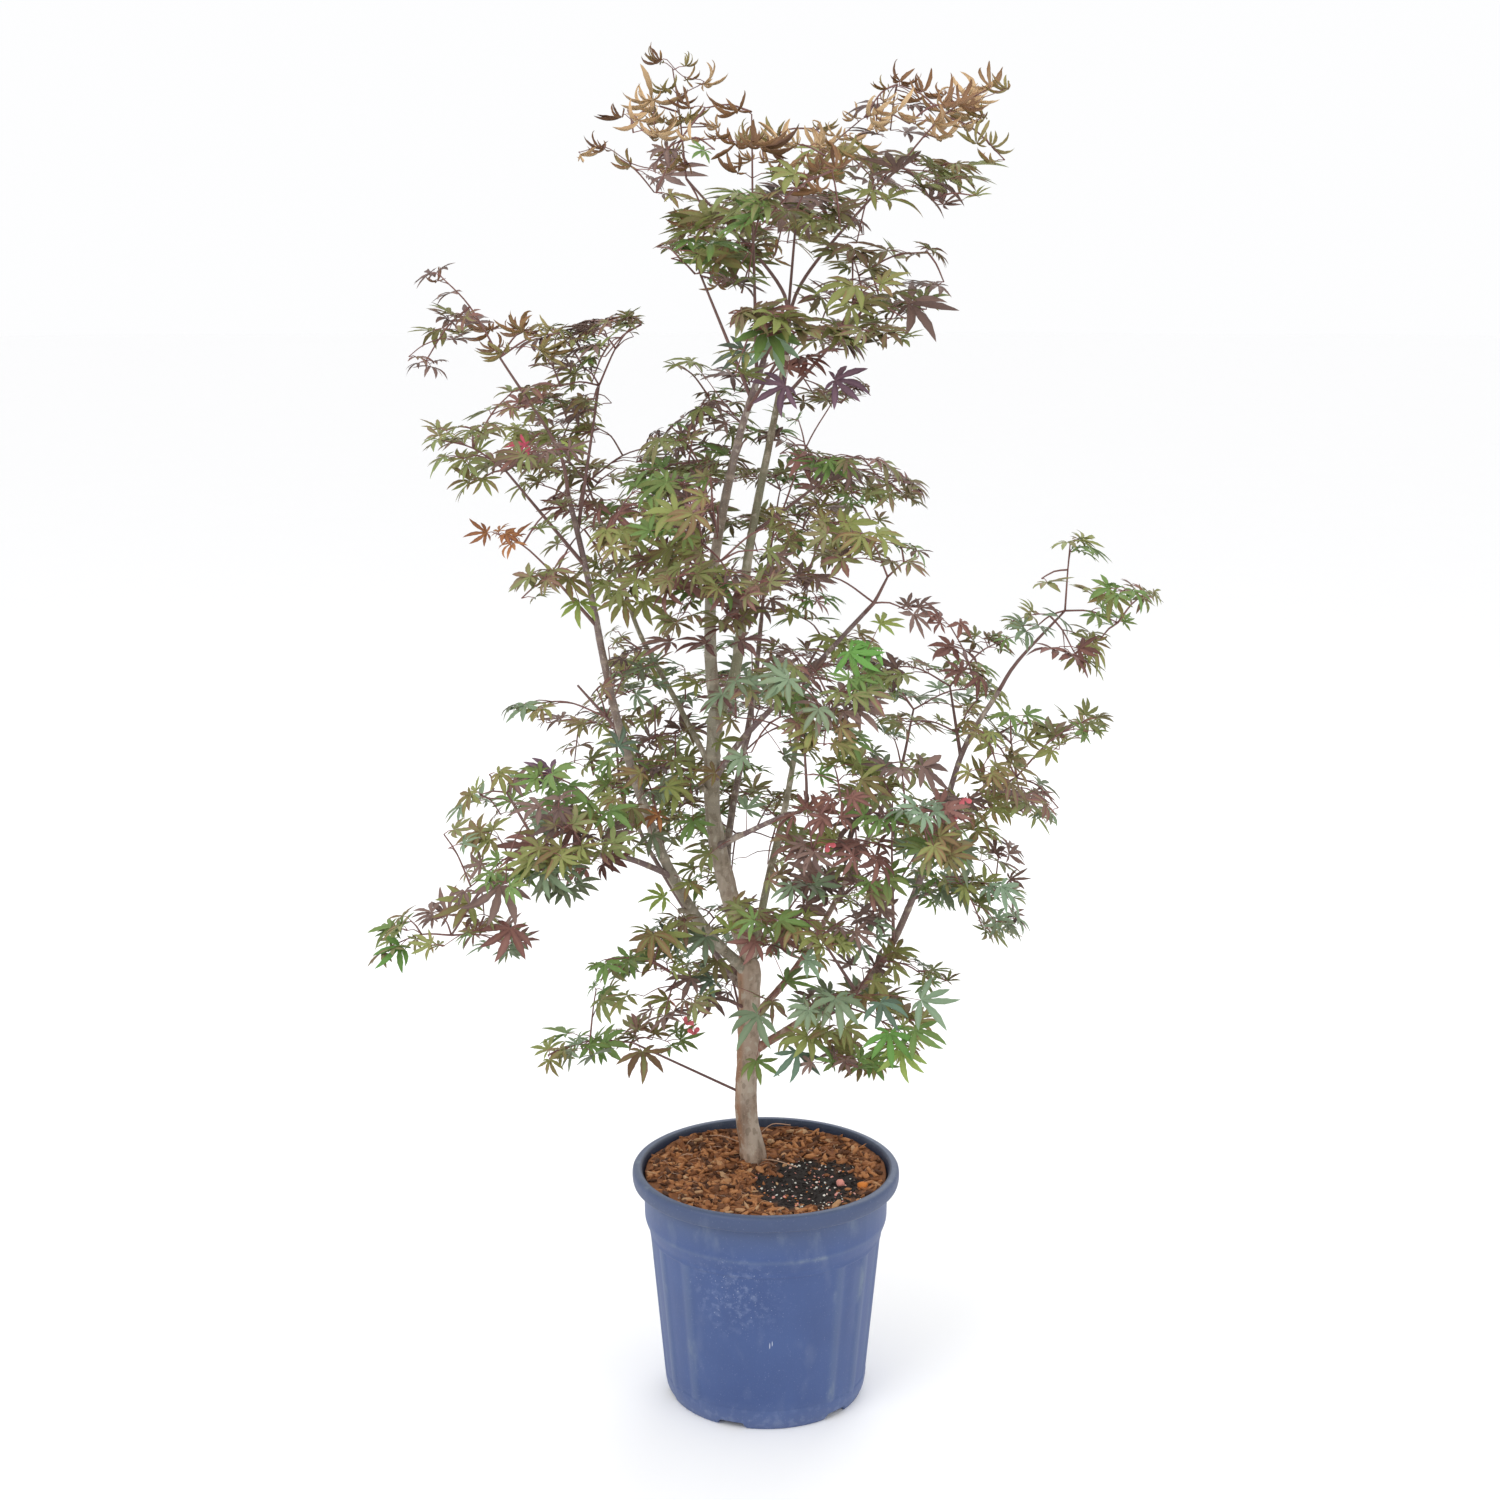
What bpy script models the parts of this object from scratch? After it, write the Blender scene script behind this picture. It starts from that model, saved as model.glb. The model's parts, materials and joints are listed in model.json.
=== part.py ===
"""A young Japanese maple in a round nursery pot. Metres, +Z up, from the centre of the pot's underside.

The trunk forks low and carries long upright limbs. Each limb ends where it enters a mass of foliage, and
each mass grows by one seeded rule from a single stem, inside a space of its own.
"""

import math
from collections import namedtuple

import bmesh
import bpy
import numpy as np
from mathutils.bvhtree import BVHTree

SEED = 7
CLEAR = 0.0003  # gap between two pieces that touch

# The pot, turned round +Z. Heights are above its underside.
POT_HEIGHT = 0.248
RIM_RADIUS = 0.140
MOUTH_RADIUS = 0.1296
COLLAR_RADIUS = 0.1278
BODY_TOP_RADIUS = 0.1222
BODY_FOOT_RADIUS = 0.1066
FOOT_RADIUS = 0.1015
FOOT_RIM = 0.012  # width of the ring that the drain notches are cut in
FOOT_CORNER_RADIUS = 0.1048  # the rounded corner between foot and body
FOOT_CORNER = 0.007
RIM_BAND = 0.0165
COLLAR_DRAW = 0.0006  # how much the collar and the rim narrow downwards
LIP_ROUND = 0.0050  # rounding of the rim's upper edge
COLLAR_FOOT = 0.194
BODY_TOP = 0.181
BODY_FOOT = 0.016
WALL = 0.0025
FLOOR = 0.006
INNER_BRIM = POT_HEIGHT - RIM_BAND - 0.001
PANEL_DEPTH = 0.0012
PANEL_MARGIN = 0.005
NOTCH_HEIGHT = 0.004
POT_SEGMENTS = 48
SECTORS = 3  # the pattern of ribs repeats this many times round the pot
RIB_SEGMENTS = (5, 7, 10)  # segments, counted inside a sector, that carry a rib
NOTCH_SEGMENTS = (3, 12)  # segments, counted inside a sector, with a drain notch in the foot

# The potting mix.
MIX_TOP = 0.2335
MIX_MOUND = 0.0025  # it stands this much higher round the trunk
MIX_SEGMENTS = 24
MIX_ROUGHNESS = 0.0012
MIX_RINGS = (0.095, 0.060, 0.0)  # radii of the surface's inner rings
MOUND_RADIUS = 0.040
MOUND_DEPTH = 0.008  # how far the mound is rooted in the mix
MOUND_SEGMENTS = 12

# Limbs. A route is the few points that a limb passes through; radii are at its foot and its tip.
LIMB_STEP = 0.042
FLARE = 0.0030  # what the root flare adds to the trunk's radius at the soil
FLARE_FADE = 0.014
TIP_LEAD = 0.004  # a limb that goes on from its parent's tip keeps the parent's heading this far
LIMB_FIELDS = "route foot_radius tip_radius joint parent sides also_clear"
Limb = namedtuple("Limb", LIMB_FIELDS, defaults=("side", None, 6, ()))
TRUNK_FOOT = (-0.013, 0.045, MIX_TOP + MIX_MOUND + CLEAR)
LIMBS = {
    "trunk": Limb(
        (TRUNK_FOOT, (-0.021, 0.044, 0.297), (-0.018, 0.041, 0.364), (-0.017, 0.036, 0.464)),
        0.0120, 0.0102, "ground", sides=10,
    ),
    "main_stem": Limb(
        ((-0.036, 0.033, 0.524), (-0.055, 0.026, 0.624), (-0.051, 0.018, 0.734)),
        0.0096, 0.0068, "tip", "trunk", 8,
    ),
    "left_leader": Limb(
        ((-0.056, 0.012, 0.784), (-0.053, 0.004, 0.874), (-0.030, -0.006, 0.994), (-0.002, -0.015, 1.084)),
        0.0066, 0.0028, "tip", "main_stem", 7,
    ),
    "right_leader": Limb(
        ((-0.054, 0.021, 0.712), (-0.031, 0.032, 0.769), (-0.018, 0.050, 0.884), (0.003, 0.060, 0.994),
         (0.021, 0.060, 1.084)),
        0.0060, 0.0028, "side", "main_stem", 7, ("left_leader",),
    ),
    "left_bough": Limb(
        ((-0.016, 0.037, 0.444), (-0.062, 0.014, 0.499), (-0.106, -0.014, 0.589), (-0.148, -0.031, 0.729),
         (-0.175, -0.040, 0.874), (-0.192, -0.045, 0.954)),
        0.0062, 0.0024, "side", "trunk", 7, ("main_stem",),
    ),
    "right_bough": Limb(
        ((-0.019, 0.043, 0.354), (0.040, 0.029, 0.397), (0.112, 0.010, 0.454), (0.166, -0.006, 0.584),
         (0.196, -0.020, 0.694), (0.232, -0.022, 0.759)),
        0.0046, 0.0023, "side", "trunk",
    ),
    "centre_bough": Limb(
        ((-0.017, 0.038, 0.442), (0.001, 0.055, 0.534), (0.024, 0.076, 0.634), (0.040, 0.090, 0.744)),
        0.0046, 0.0022, "side", "trunk", 6, ("main_stem",),
    ),
    "crossing_bough": Limb(
        ((-0.056, 0.023, 0.652), (-0.022, -0.002, 0.706), (0.040, -0.050, 0.779), (0.096, -0.080, 0.846)),
        0.0034, 0.0020, "side", "main_stem",
    ),
    "left_inner_bough": Limb(
        ((-0.056, 0.024, 0.668), (-0.090, 0.048, 0.729), (-0.130, 0.085, 0.796), (-0.152, 0.110, 0.854)),
        0.0030, 0.0020, "side", "main_stem",
    ),
    "low_left_bough": Limb(
        ((-0.094, -0.006, 0.562), (-0.150, -0.055, 0.596), (-0.215, -0.072, 0.596), (-0.262, -0.066, 0.574)),
        0.0032, 0.0020, "side", "left_bough",
    ),
    "front_bough": Limb(
        ((-0.050, 0.029, 0.584), (-0.022, -0.028, 0.612), (0.020, -0.075, 0.644)),
        0.0034, 0.0020, "side", "main_stem",
    ),
    "back_bough": Limb(
        ((-0.042, 0.031, 0.550), (-0.036, 0.085, 0.604), (-0.014, 0.140, 0.714), (-0.004, 0.160, 0.804)),
        0.0042, 0.0022, "side", "main_stem",
    ),
    "back_right_bough": Limb(
        ((-0.018, 0.040, 0.389), (0.040, 0.095, 0.444), (0.100, 0.135, 0.544), (0.135, 0.155, 0.614)),
        0.0040, 0.0020, "side", "trunk",
    ),
    "back_left_bough": Limb(
        ((-0.017, 0.038, 0.416), (-0.070, 0.095, 0.474), (-0.120, 0.135, 0.544), (-0.142, 0.150, 0.584)),
        0.0036, 0.0020, "side", "trunk",
    ),
}

# Masses of foliage. share is where the stem leaves its limb, and 1 is the limb's tip. reach is how far the
# leaves go from the centre along each axis.
Mass = namedtuple("Mass", "limb share centre reach leaves")
MASSES = {
    "top_left_foliage": Mass("left_leader", 1.0, (-0.108, -0.030, 1.286), (0.100, 0.120, 0.110), 6),
    "top_front_foliage": Mass("left_leader", 0.93, (-0.015, -0.100, 1.250), (0.119, 0.113, 0.107), 9),
    "top_right_foliage": Mass("right_leader", 1.0, (0.158, 0.010, 1.300), (0.107, 0.136, 0.113), 8),
    "top_back_foliage": Mass("right_leader", 0.94, (0.035, 0.120, 1.275), (0.124, 0.124, 0.119), 7),
    "top_skirt_foliage": Mass("left_leader", 0.84, (0.035, -0.090, 1.125), (0.124, 0.113, 0.079), 5),
    "top_left_skirt_foliage": Mass("left_leader", 0.88, (-0.075, 0.030, 1.185), (0.096, 0.113, 0.079), 5),
    "top_right_skirt_foliage": Mass("right_leader", 0.86, (0.115, 0.030, 1.150), (0.102, 0.102, 0.068), 4),
    "top_back_skirt_foliage": Mass("right_leader", 0.80, (0.020, 0.170, 1.090), (0.113, 0.102, 0.079), 4),
    "left_tip_foliage": Mass("left_bough", 1.0, (-0.272, -0.050, 1.112), (0.108, 0.108, 0.108), 6),
    "left_inner_foliage": Mass("left_bough", 0.93, (-0.160, 0.020, 1.085), (0.090, 0.113, 0.096), 6),
    "left_middle_foliage": Mass("left_bough", 0.87, (-0.265, -0.080, 1.000), (0.113, 0.107, 0.073), 5),
    "left_lower_foliage": Mass("left_bough", 0.76, (-0.215, -0.060, 0.885), (0.102, 0.107, 0.073), 4),
    "left_back_foliage": Mass("left_inner_bough", 1.0, (-0.195, 0.140, 0.970), (0.113, 0.113, 0.102), 6),
    "centre_left_foliage": Mass("left_leader", 0.50, (-0.085, 0.060, 0.990), (0.096, 0.119, 0.096), 6),
    "centre_front_foliage": Mass("left_leader", 0.32, (-0.070, -0.110, 0.900), (0.113, 0.113, 0.090), 5),
    "centre_right_foliage": Mass("right_leader", 0.52, (0.095, 0.020, 0.990), (0.107, 0.119, 0.096), 7),
    "centre_low_right_foliage": Mass("crossing_bough", 1.0, (0.120, -0.070, 0.885), (0.107, 0.113, 0.090), 7),
    "centre_back_foliage": Mass("back_bough", 1.0, (0.015, 0.190, 0.930), (0.136, 0.119, 0.113), 7),
    "right_tip_foliage": Mass("right_bough", 1.0, (0.308, -0.030, 0.855), (0.108, 0.115, 0.105), 6),
    "right_middle_foliage": Mass("right_bough", 0.84, (0.185, 0.045, 0.765), (0.107, 0.113, 0.102), 5),
    "right_low_foliage": Mass("right_bough", 0.70, (0.265, -0.030, 0.680), (0.119, 0.113, 0.079), 6),
    "right_back_foliage": Mass("back_right_bough", 1.0, (0.165, 0.180, 0.720), (0.113, 0.113, 0.102), 5),
    "low_right_front_foliage": Mass("right_bough", 0.42, (0.120, -0.110, 0.640), (0.124, 0.113, 0.096), 6),
    "low_right_inner_foliage": Mass("right_bough", 0.28, (0.045, -0.070, 0.530), (0.096, 0.102, 0.073), 4),
    "low_right_foliage": Mass("right_bough", 0.16, (0.095, -0.040, 0.435), (0.119, 0.113, 0.085), 6),
    "low_right_tip_foliage": Mass("right_bough", 0.52, (0.205, -0.010, 0.560), (0.102, 0.107, 0.085), 4),
    "low_right_back_foliage": Mass("back_right_bough", 0.55, (0.130, 0.170, 0.530), (0.113, 0.102, 0.096), 5),
    "low_left_tip_foliage": Mass("low_left_bough", 1.0, (-0.325, -0.060, 0.500), (0.110, 0.100, 0.080), 5),
    "low_left_front_foliage": Mass("low_left_bough", 0.55, (-0.220, -0.130, 0.630), (0.113, 0.102, 0.096), 6),
    "low_left_middle_foliage": Mass("low_left_bough", 0.75, (-0.27, -0.01, 0.665), (0.096, 0.09, 0.073), 5),
    "low_left_inner_foliage": Mass("left_bough", 0.30, (-0.120, 0.050, 0.650), (0.090, 0.102, 0.090), 4),
    "low_left_back_foliage": Mass("back_left_bough", 1.0, (-0.165, 0.180, 0.700), (0.113, 0.102, 0.102), 5),
    "middle_left_foliage": Mass("left_bough", 0.56, (-0.200, 0.020, 0.765), (0.113, 0.102, 0.062), 5),
    "middle_back_foliage": Mass("back_bough", 0.45, (-0.010, 0.190, 0.690), (0.113, 0.102, 0.102), 5),
    "middle_low_back_foliage": Mass("back_bough", 0.15, (-0.030, 0.190, 0.560), (0.113, 0.107, 0.090), 4),
    "middle_right_foliage": Mass("centre_bough", 1.0, (0.065, 0.090, 0.800), (0.090, 0.090, 0.079), 4),
    "middle_front_foliage": Mass("front_bough", 1.0, (0.035, -0.120, 0.745), (0.102, 0.090, 0.079), 5),
    "bottom_left_foliage": Mass("trunk", 0.32, (-0.165, 0.000, 0.395), (0.119, 0.096, 0.068), 4),
    "bottom_front_foliage": Mass("trunk", 0.74, (-0.105, -0.060, 0.480), (0.096, 0.102, 0.062), 3),
    "bottom_back_foliage": Mass("trunk", 0.55, (-0.040, 0.130, 0.430), (0.090, 0.090, 0.079), 4),
}

# Twigs and leaves.
STEM_RADIUS = 0.0020
STEM_SIDES = 3
TWIG_RADIUS = 0.0014
STEM_SHARE = 0.8  # a stem's greatest radius, as a share of its limb's
STEM_BEND = 0.28  # a stem bends this far along
HEART_SHARE = 0.25  # and ends this far short of its mass's centre
ROOT_DEPTH = 0.0004  # a twig starts this far behind the line of the one that bears it
TWIG_ARCH = 0.10  # how far a twig's middle rises, as a share of its length
LEAF_LENGTH = 0.070  # the middle lobe, from the palm
LEAF_SIZE_SPREAD = 0.12
MOST_SHRINKAGE = 0.35  # of a leaf in a tight place
LEAF_HALF_THICKNESS = 0.013  # at the palm, as a share of the leaf's length
LEAF_DROOP = 0.20  # how far a lobe's tip hangs, as a share of the leaf's length
LEAF_TILT = (0.3, 1.1)  # how steeply a leaf points down, as a slope
LEAF_ROLL = 0.30  # spread of its turn about its midrib, in radians
STALK_LENGTH = 0.034
STALK_RADIUS = 0.0008
STALK_RISE = 0.15  # a stalk follows this much of its twig's own rise
STALK_NOD = 0.10  # spread of a stalk's slope
LEAF_SWING = (0.18, 1.5)  # spread of a leaf's heading in radians, and what the last try adds to it
MOST_STRAY = 1.1  # limit of that swing
LEAF_SPREAD = math.radians(58)  # between a twig's heading and each leaf of its end pair
PAIR_LAGS = ((-1, 0.003), (1, 0.007))  # the side of each of the pair, and how far below the end it grows
LEAF_TIPS = ((98, 0.60), (48, 0.90), (0, 1.0), (-48, 0.90), (-98, 0.60))  # degrees from the midrib, length
LEAF_SINUS = ((73, 0.26), (24, 0.34), (-24, 0.34), (-73, 0.26))
BLADE_FACES = 4 * len(LEAF_TIPS)  # a leaf's faces that are its blade; the rest are its stalk
PALM = 2 * len(LEAF_TIPS) + 1  # the number of the leaf's point on top of its palm
HEEL_ANGLE = 150
HEEL_SHARE = 0.045
SPACE_MARGIN = 0.02  # how much nearer a point has to be to its own mass than to any other
TRIES = 10  # ways that a leaf is turned before it is left out
LIMB_CLEARANCE = 0.0035
OBSTACLE_SPACING = 0.004
OBSTACLE_SIDES = 6
LINE_SPACING = 0.006
FREE_RUN = 0.015  # a twig need not keep to its space over this first run
NEAREST_NODES = 3  # places that a twig may start from
CANDIDATES = 40  # drawn for each site
MOST_SITES = 70  # sites tried for a mass
SITE_REACH = 0.66  # how far sites go, as a share of the mass's reach
SITE_LIFT = 0.20  # leaves hang, so their places lie this much higher in the space
BEST_CANDIDATES = 10


def material(name, colour, roughness, metallic=0.0):
    made = bpy.data.materials.new(name)
    made.use_nodes = True
    shader = made.node_tree.nodes["Principled BSDF"]
    shader.inputs["Base Color"].default_value = (*colour, 1.0)
    shader.inputs["Roughness"].default_value = roughness
    shader.inputs["Metallic"].default_value = metallic
    return made


def add_object(name, points, faces, finish, collection=None):
    mesh = bpy.data.meshes.new(name)
    mesh.from_pydata([tuple(map(float, p)) for p in points], [], [tuple(map(int, f)) for f in faces])
    mesh.materials.append(finish)
    made = bpy.data.objects.new(name, mesh)
    (collection or bpy.context.scene.collection).objects.link(made)
    return made


def smooth(obj, angle=40):
    obj.data.shade_smooth()
    obj.data.set_sharp_from_angle(angle=math.radians(angle))


# ---------------------------------------------------------------- the pot and its mix


def revolved(rings, segments, place):
    """Points and faces of a solid turned round Z. place(ring, segment) gives a point; two poles close it."""
    points = [place(ring, segment) for ring in range(1, rings - 1) for segment in range(segments)]
    first = len(points)
    points += [place(0, 0), place(rings - 1, 0)]
    faces = []
    for segment in range(segments):
        after = (segment + 1) % segments
        faces.append((first, after, segment))
        for ring in range(rings - 3):
            low, high = ring * segments, (ring + 1) * segments
            faces.append((low + segment, low + after, high + after, high + segment))
        last = (rings - 3) * segments
        faces.append((first + 1, last + segment, last + after))
    return points, faces


def pot_profile():
    """(radius, height, kind) from the underside's centre, up the outside and down inside to the floor."""
    panel_foot = BODY_FOOT + PANEL_MARGIN
    panel_top = BODY_TOP - PANEL_MARGIN
    slope = (BODY_TOP_RADIUS - BODY_FOOT_RADIUS) / (BODY_TOP - BODY_FOOT)
    margin_draw = slope * PANEL_MARGIN
    rim_foot = POT_HEIGHT - RIM_BAND
    return (
        (0.0, 0.0, "plain"),
        (FOOT_RADIUS - FOOT_RIM, 0.0, "plain"),
        (FOOT_RADIUS, 0.0, "foot"),
        (FOOT_CORNER_RADIUS, FOOT_CORNER, "plain"),
        (BODY_FOOT_RADIUS, BODY_FOOT, "plain"),
        (BODY_FOOT_RADIUS + margin_draw, panel_foot, "panel"),
        (BODY_TOP_RADIUS - margin_draw, panel_top, "panel"),
        (BODY_TOP_RADIUS, BODY_TOP, "plain"),
        (COLLAR_RADIUS - COLLAR_DRAW, COLLAR_FOOT, "plain"),
        (COLLAR_RADIUS, rim_foot, "plain"),
        (RIM_RADIUS - COLLAR_DRAW, rim_foot, "plain"),
        (RIM_RADIUS, rim_foot + 0.5 * RIM_BAND, "plain"),
        (RIM_RADIUS - LIP_ROUND / 3, POT_HEIGHT - LIP_ROUND / 2, "plain"),
        (RIM_RADIUS - LIP_ROUND, POT_HEIGHT, "plain"),
        (MOUTH_RADIUS, POT_HEIGHT - LIP_ROUND / 2, "plain"),
        (COLLAR_RADIUS - WALL, INNER_BRIM, "inner"),
        (BODY_TOP_RADIUS - WALL, BODY_TOP, "inner"),
        (BODY_FOOT_RADIUS - WALL - PANEL_DEPTH, FLOOR, "inner"),
        (0.0, FLOOR, "inner"),
    )


def around(segment, segments, radius, height):
    """A point of a turned piece. Segment 0 faces the front, -Y, and the count runs towards +X."""
    turn = 2 * math.pi * segment / segments
    return (radius * math.sin(turn), -radius * math.cos(turn), height)


def build_pot(finish):
    profile = pot_profile()
    per_sector = POT_SEGMENTS // SECTORS

    def place(ring, segment):
        radius, height, kind = profile[ring]
        inside = segment % per_sector
        if kind == "panel" and inside not in RIB_SEGMENTS:
            radius -= PANEL_DEPTH
        if kind == "foot" and inside in NOTCH_SEGMENTS:
            height += NOTCH_HEIGHT
        return around(segment, POT_SEGMENTS, radius, height)

    pot = add_object("pot", *revolved(len(profile), POT_SEGMENTS, place), finish)
    smooth(pot, 30)


def build_mix(finish):
    inner = [(r, z) for r, z, kind in pot_profile() if kind == "inner"]
    (collar_radius, _), (top_radius, top), (foot_radius, foot), _ = inner
    share = (MIX_TOP - BODY_TOP) / (INNER_BRIM - BODY_TOP)
    brim_radius = top_radius + share * (collar_radius - top_radius)
    profile = (
        (0.0, foot + CLEAR),
        (foot_radius - WALL, foot + CLEAR),
        (top_radius - 2 * CLEAR, top),
        (brim_radius - 2 * CLEAR, MIX_TOP),
        *((radius, MIX_TOP) for radius in MIX_RINGS),
    )
    rng = np.random.default_rng(SEED)
    bumps = MIX_ROUGHNESS * rng.uniform(-1, 1, (len(profile), MIX_SEGMENTS))

    def place(ring, segment):
        radius, height = profile[ring]
        x, y, z = around(segment, MIX_SEGMENTS, radius, height)
        if radius in MIX_RINGS[:-1]:
            away = math.hypot(x - TRUNK_FOOT[0], y - TRUNK_FOOT[1]) / MOUND_RADIUS
            z += bumps[ring, segment] * min(away, 1)
        return (x, y, z)

    points, faces = revolved(len(profile), MIX_SEGMENTS, place)
    mix = add_object("potting_mix", points, faces, finish)
    mound = add_object("mound", *mound_shape(), finish)
    join(mix, [mound])
    smooth(mix, 30)


def mound_shape():
    """A low flat-topped heap round the trunk's foot, rooted in the mix."""
    x, y, _ = TRUNK_FOOT
    segments = MOUND_SEGMENTS
    points = []
    for radius, height in ((MOUND_RADIUS, MIX_TOP - MOUND_DEPTH), (0.5 * MOUND_RADIUS, MIX_TOP + MIX_MOUND)):
        for segment in range(segments):
            dx, dy, z = around(segment, segments, radius, height)
            points.append((x + dx, y + dy, z))
    faces = [tuple(reversed(range(segments))), tuple(range(segments, 2 * segments))]
    for segment in range(segments):
        after = (segment + 1) % segments
        faces.append((segment, after, segments + after, segments + segment))
    return points, faces


# ---------------------------------------------------------------- Booleans


def apply_modifiers(obj):
    graph = bpy.context.evaluated_depsgraph_get()
    mesh = bpy.data.meshes.new_from_object(obj.evaluated_get(graph))
    obj.modifiers.clear()
    old, obj.data = obj.data, mesh
    bpy.data.meshes.remove(old)


def keep_largest(obj):
    """Drops loose scraps and sealed hollows: only the body with the most points stays."""
    shape = bmesh.new()
    shape.from_mesh(obj.data)
    bmesh.ops.triangulate(shape, faces=shape.faces)
    left = set(shape.verts)
    bodies = []
    while left:
        front = [left.pop()]
        body = set(front)
        while front:
            for edge in front.pop().link_edges:
                for vert in edge.verts:
                    if vert in left:
                        left.discard(vert)
                        body.add(vert)
                        front.append(vert)
        bodies.append(body)
    bodies.sort(key=len)
    scraps = [vert for body in bodies[:-1] for vert in body]
    bmesh.ops.delete(shape, geom=scraps, context="VERTS")
    shape.to_mesh(obj.data)
    shape.free()


def join(base, others, operation="UNION", solver="EXACT"):
    """Unites the others with base, or cuts them from it, through one collection, and removes them."""
    pieces = bpy.data.collections.new("pieces")
    bpy.context.scene.collection.children.link(pieces)
    for other in others:
        for held in list(other.users_collection):
            held.objects.unlink(other)
        pieces.objects.link(other)
    boolean = base.modifiers.new("join", "BOOLEAN")
    boolean.operation = operation
    boolean.solver = solver
    boolean.operand_type = "COLLECTION"
    boolean.collection = pieces
    apply_modifiers(base)
    for other in list(pieces.objects):
        mesh = other.data
        bpy.data.objects.remove(other)
        bpy.data.meshes.remove(mesh)
    bpy.data.collections.remove(pieces)
    keep_largest(base)


# ---------------------------------------------------------------- limbs


def unit(vector):
    return vector / np.linalg.norm(vector)


def curve_through(route, step):
    """Points about a step apart on a smooth curve through the route's points."""
    knots = [np.array(p, float) for p in route]
    ends = [2 * knots[0] - knots[1], *knots, 2 * knots[-1] - knots[-2]]
    points = []
    for a, b, c, d in zip(ends, ends[1:], ends[2:], ends[3:]):
        count = max(1, round(np.linalg.norm(c - b) / step))
        for i in range(count):
            t = i / count
            bend = (2 * a - 5 * b + 4 * c - d) * t**2 + (3 * b - a - 3 * c + d) * t**3
            points.append(0.5 * (2 * b + (c - a) * t + bend))
    return np.array([*points, knots[-1]])


def tube(path, radii, sides):
    """Points and faces of a closed tube with flat ends along the path."""
    along = np.gradient(path, axis=0)
    across = np.cross(unit(along[0]), (0.31, 0.87, 0.38))
    points, faces = [], []
    for centre, heading, radius in zip(path, along, radii):
        heading = unit(heading)
        across = unit(across - heading * (across @ heading))
        third = np.cross(heading, across)
        for side in range(sides):
            turn = 2 * math.pi * side / sides
            points.append(centre + radius * (math.cos(turn) * across + math.sin(turn) * third))
    for ring in range(len(path) - 1):
        for side in range(sides):
            after = (side + 1) % sides
            low, high = ring * sides, (ring + 1) * sides
            faces.append((low + side, low + after, high + after))
            faces.append((low + side, high + after, high + side))
    faces.append(tuple(reversed(range(sides))))
    faces.append(tuple(range((len(path) - 1) * sides, len(path) * sides)))
    return points, faces


def limb_shape(name):
    """The limb's centre line and its radius at each of the line's points."""
    limb = LIMBS[name]
    if limb.joint == "tip":
        before, _ = limb_shape(limb.parent)
        heading = unit(before[-1] - before[-2])
        start = before[-1] + CLEAR * heading
        path = curve_through((start, *limb.route), LIMB_STEP)
        path = np.insert(path, 1, start + TIP_LEAD * heading, axis=0)
    else:
        path = curve_through(limb.route, LIMB_STEP)
    run = np.concatenate([[0], np.cumsum(np.linalg.norm(np.diff(path, axis=0), axis=1))])
    radii = limb.foot_radius + (limb.tip_radius - limb.foot_radius) * run / run[-1]
    if limb.joint == "ground":
        path = np.insert(path, 1, path[0] + (path[1] - path[0]) * FLARE_FADE / run[1], axis=0)
        radii = np.insert(radii, 1, radii[0])
        radii[0] += FLARE
    return path, radii


def level_foot(points, sides, height):
    """Moves a trunk's first ring onto one level, so that its cut is flat on the soil."""
    for point in points[:sides]:
        point[2] = height


def limb_object(name, finish, extra=0.0):
    """The limb's tapering tube, or one that much thicker to cut its neighbours clear."""
    path, radii = limb_shape(name)
    path[0] -= extra * unit(path[1] - path[0])
    path[-1] += extra * unit(path[-1] - path[-2])
    points, faces = tube(path, radii + extra, LIMBS[name].sides)
    if LIMBS[name].joint == "ground":
        level_foot(points, LIMBS[name].sides, TRUNK_FOOT[2])
    return add_object(name, points, faces, finish)


def build_limb(name, finish):
    limb = LIMBS[name]
    made = limb_object(name, finish)
    parents = (limb.parent,) if limb.joint == "side" else ()
    for cutter in parents + limb.also_clear:
        join(made, [limb_object(cutter, finish, CLEAR)], "DIFFERENCE")
    smooth(made, 60)


# ---------------------------------------------------------------- foliage


class Obstacles:
    """The limbs and the masses' stems, as balls along their lines."""

    def __init__(self):
        self.centres, self.radii, self.owners, self.trees = [], [], [], {}

    def add(self, owner, path, radii, spacing=OBSTACLE_SPACING):
        points, faces = tube(path, radii + LIMB_CLEARANCE / 2, OBSTACLE_SIDES)
        self.trees[owner] = BVHTree.FromPolygons([tuple(p) for p in points], faces)
        for a, b, r, s in zip(path, path[1:], radii, radii[1:]):
            count = max(1, math.ceil(np.linalg.norm(b - a) / spacing))
            for t in np.arange(count) / count:
                self.centres.append(a + (b - a) * t)
                self.radii.append(r + (s - r) * t)
                self.owners.append(owner)

    def freeze(self):
        self.centres = np.array(self.centres)
        self.radii = np.array(self.radii)
        self.owners = np.array(self.owners)

    def clear(self, points, owner):
        """Whether every point stays clear of everything but the owner's own stem."""
        others = self.owners != owner
        gaps = np.linalg.norm(points[:, None] - self.centres[None, others], axis=2) - self.radii[others]
        return bool((gaps > LIMB_CLEARANCE).all())


def nearness(points, mass):
    """0 at the mass's centre and 1 at its reach."""
    return np.linalg.norm((points - np.array(mass.centre)) / np.array(mass.reach), axis=-1)


def in_own_space(points, name):
    own = nearness(points, MASSES[name])
    if (own > 1).any():
        return False
    others = [nearness(points, mass) for other, mass in MASSES.items() if other != name]
    return bool((own + SPACE_MARGIN < np.min(others, axis=0)).all())


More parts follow.
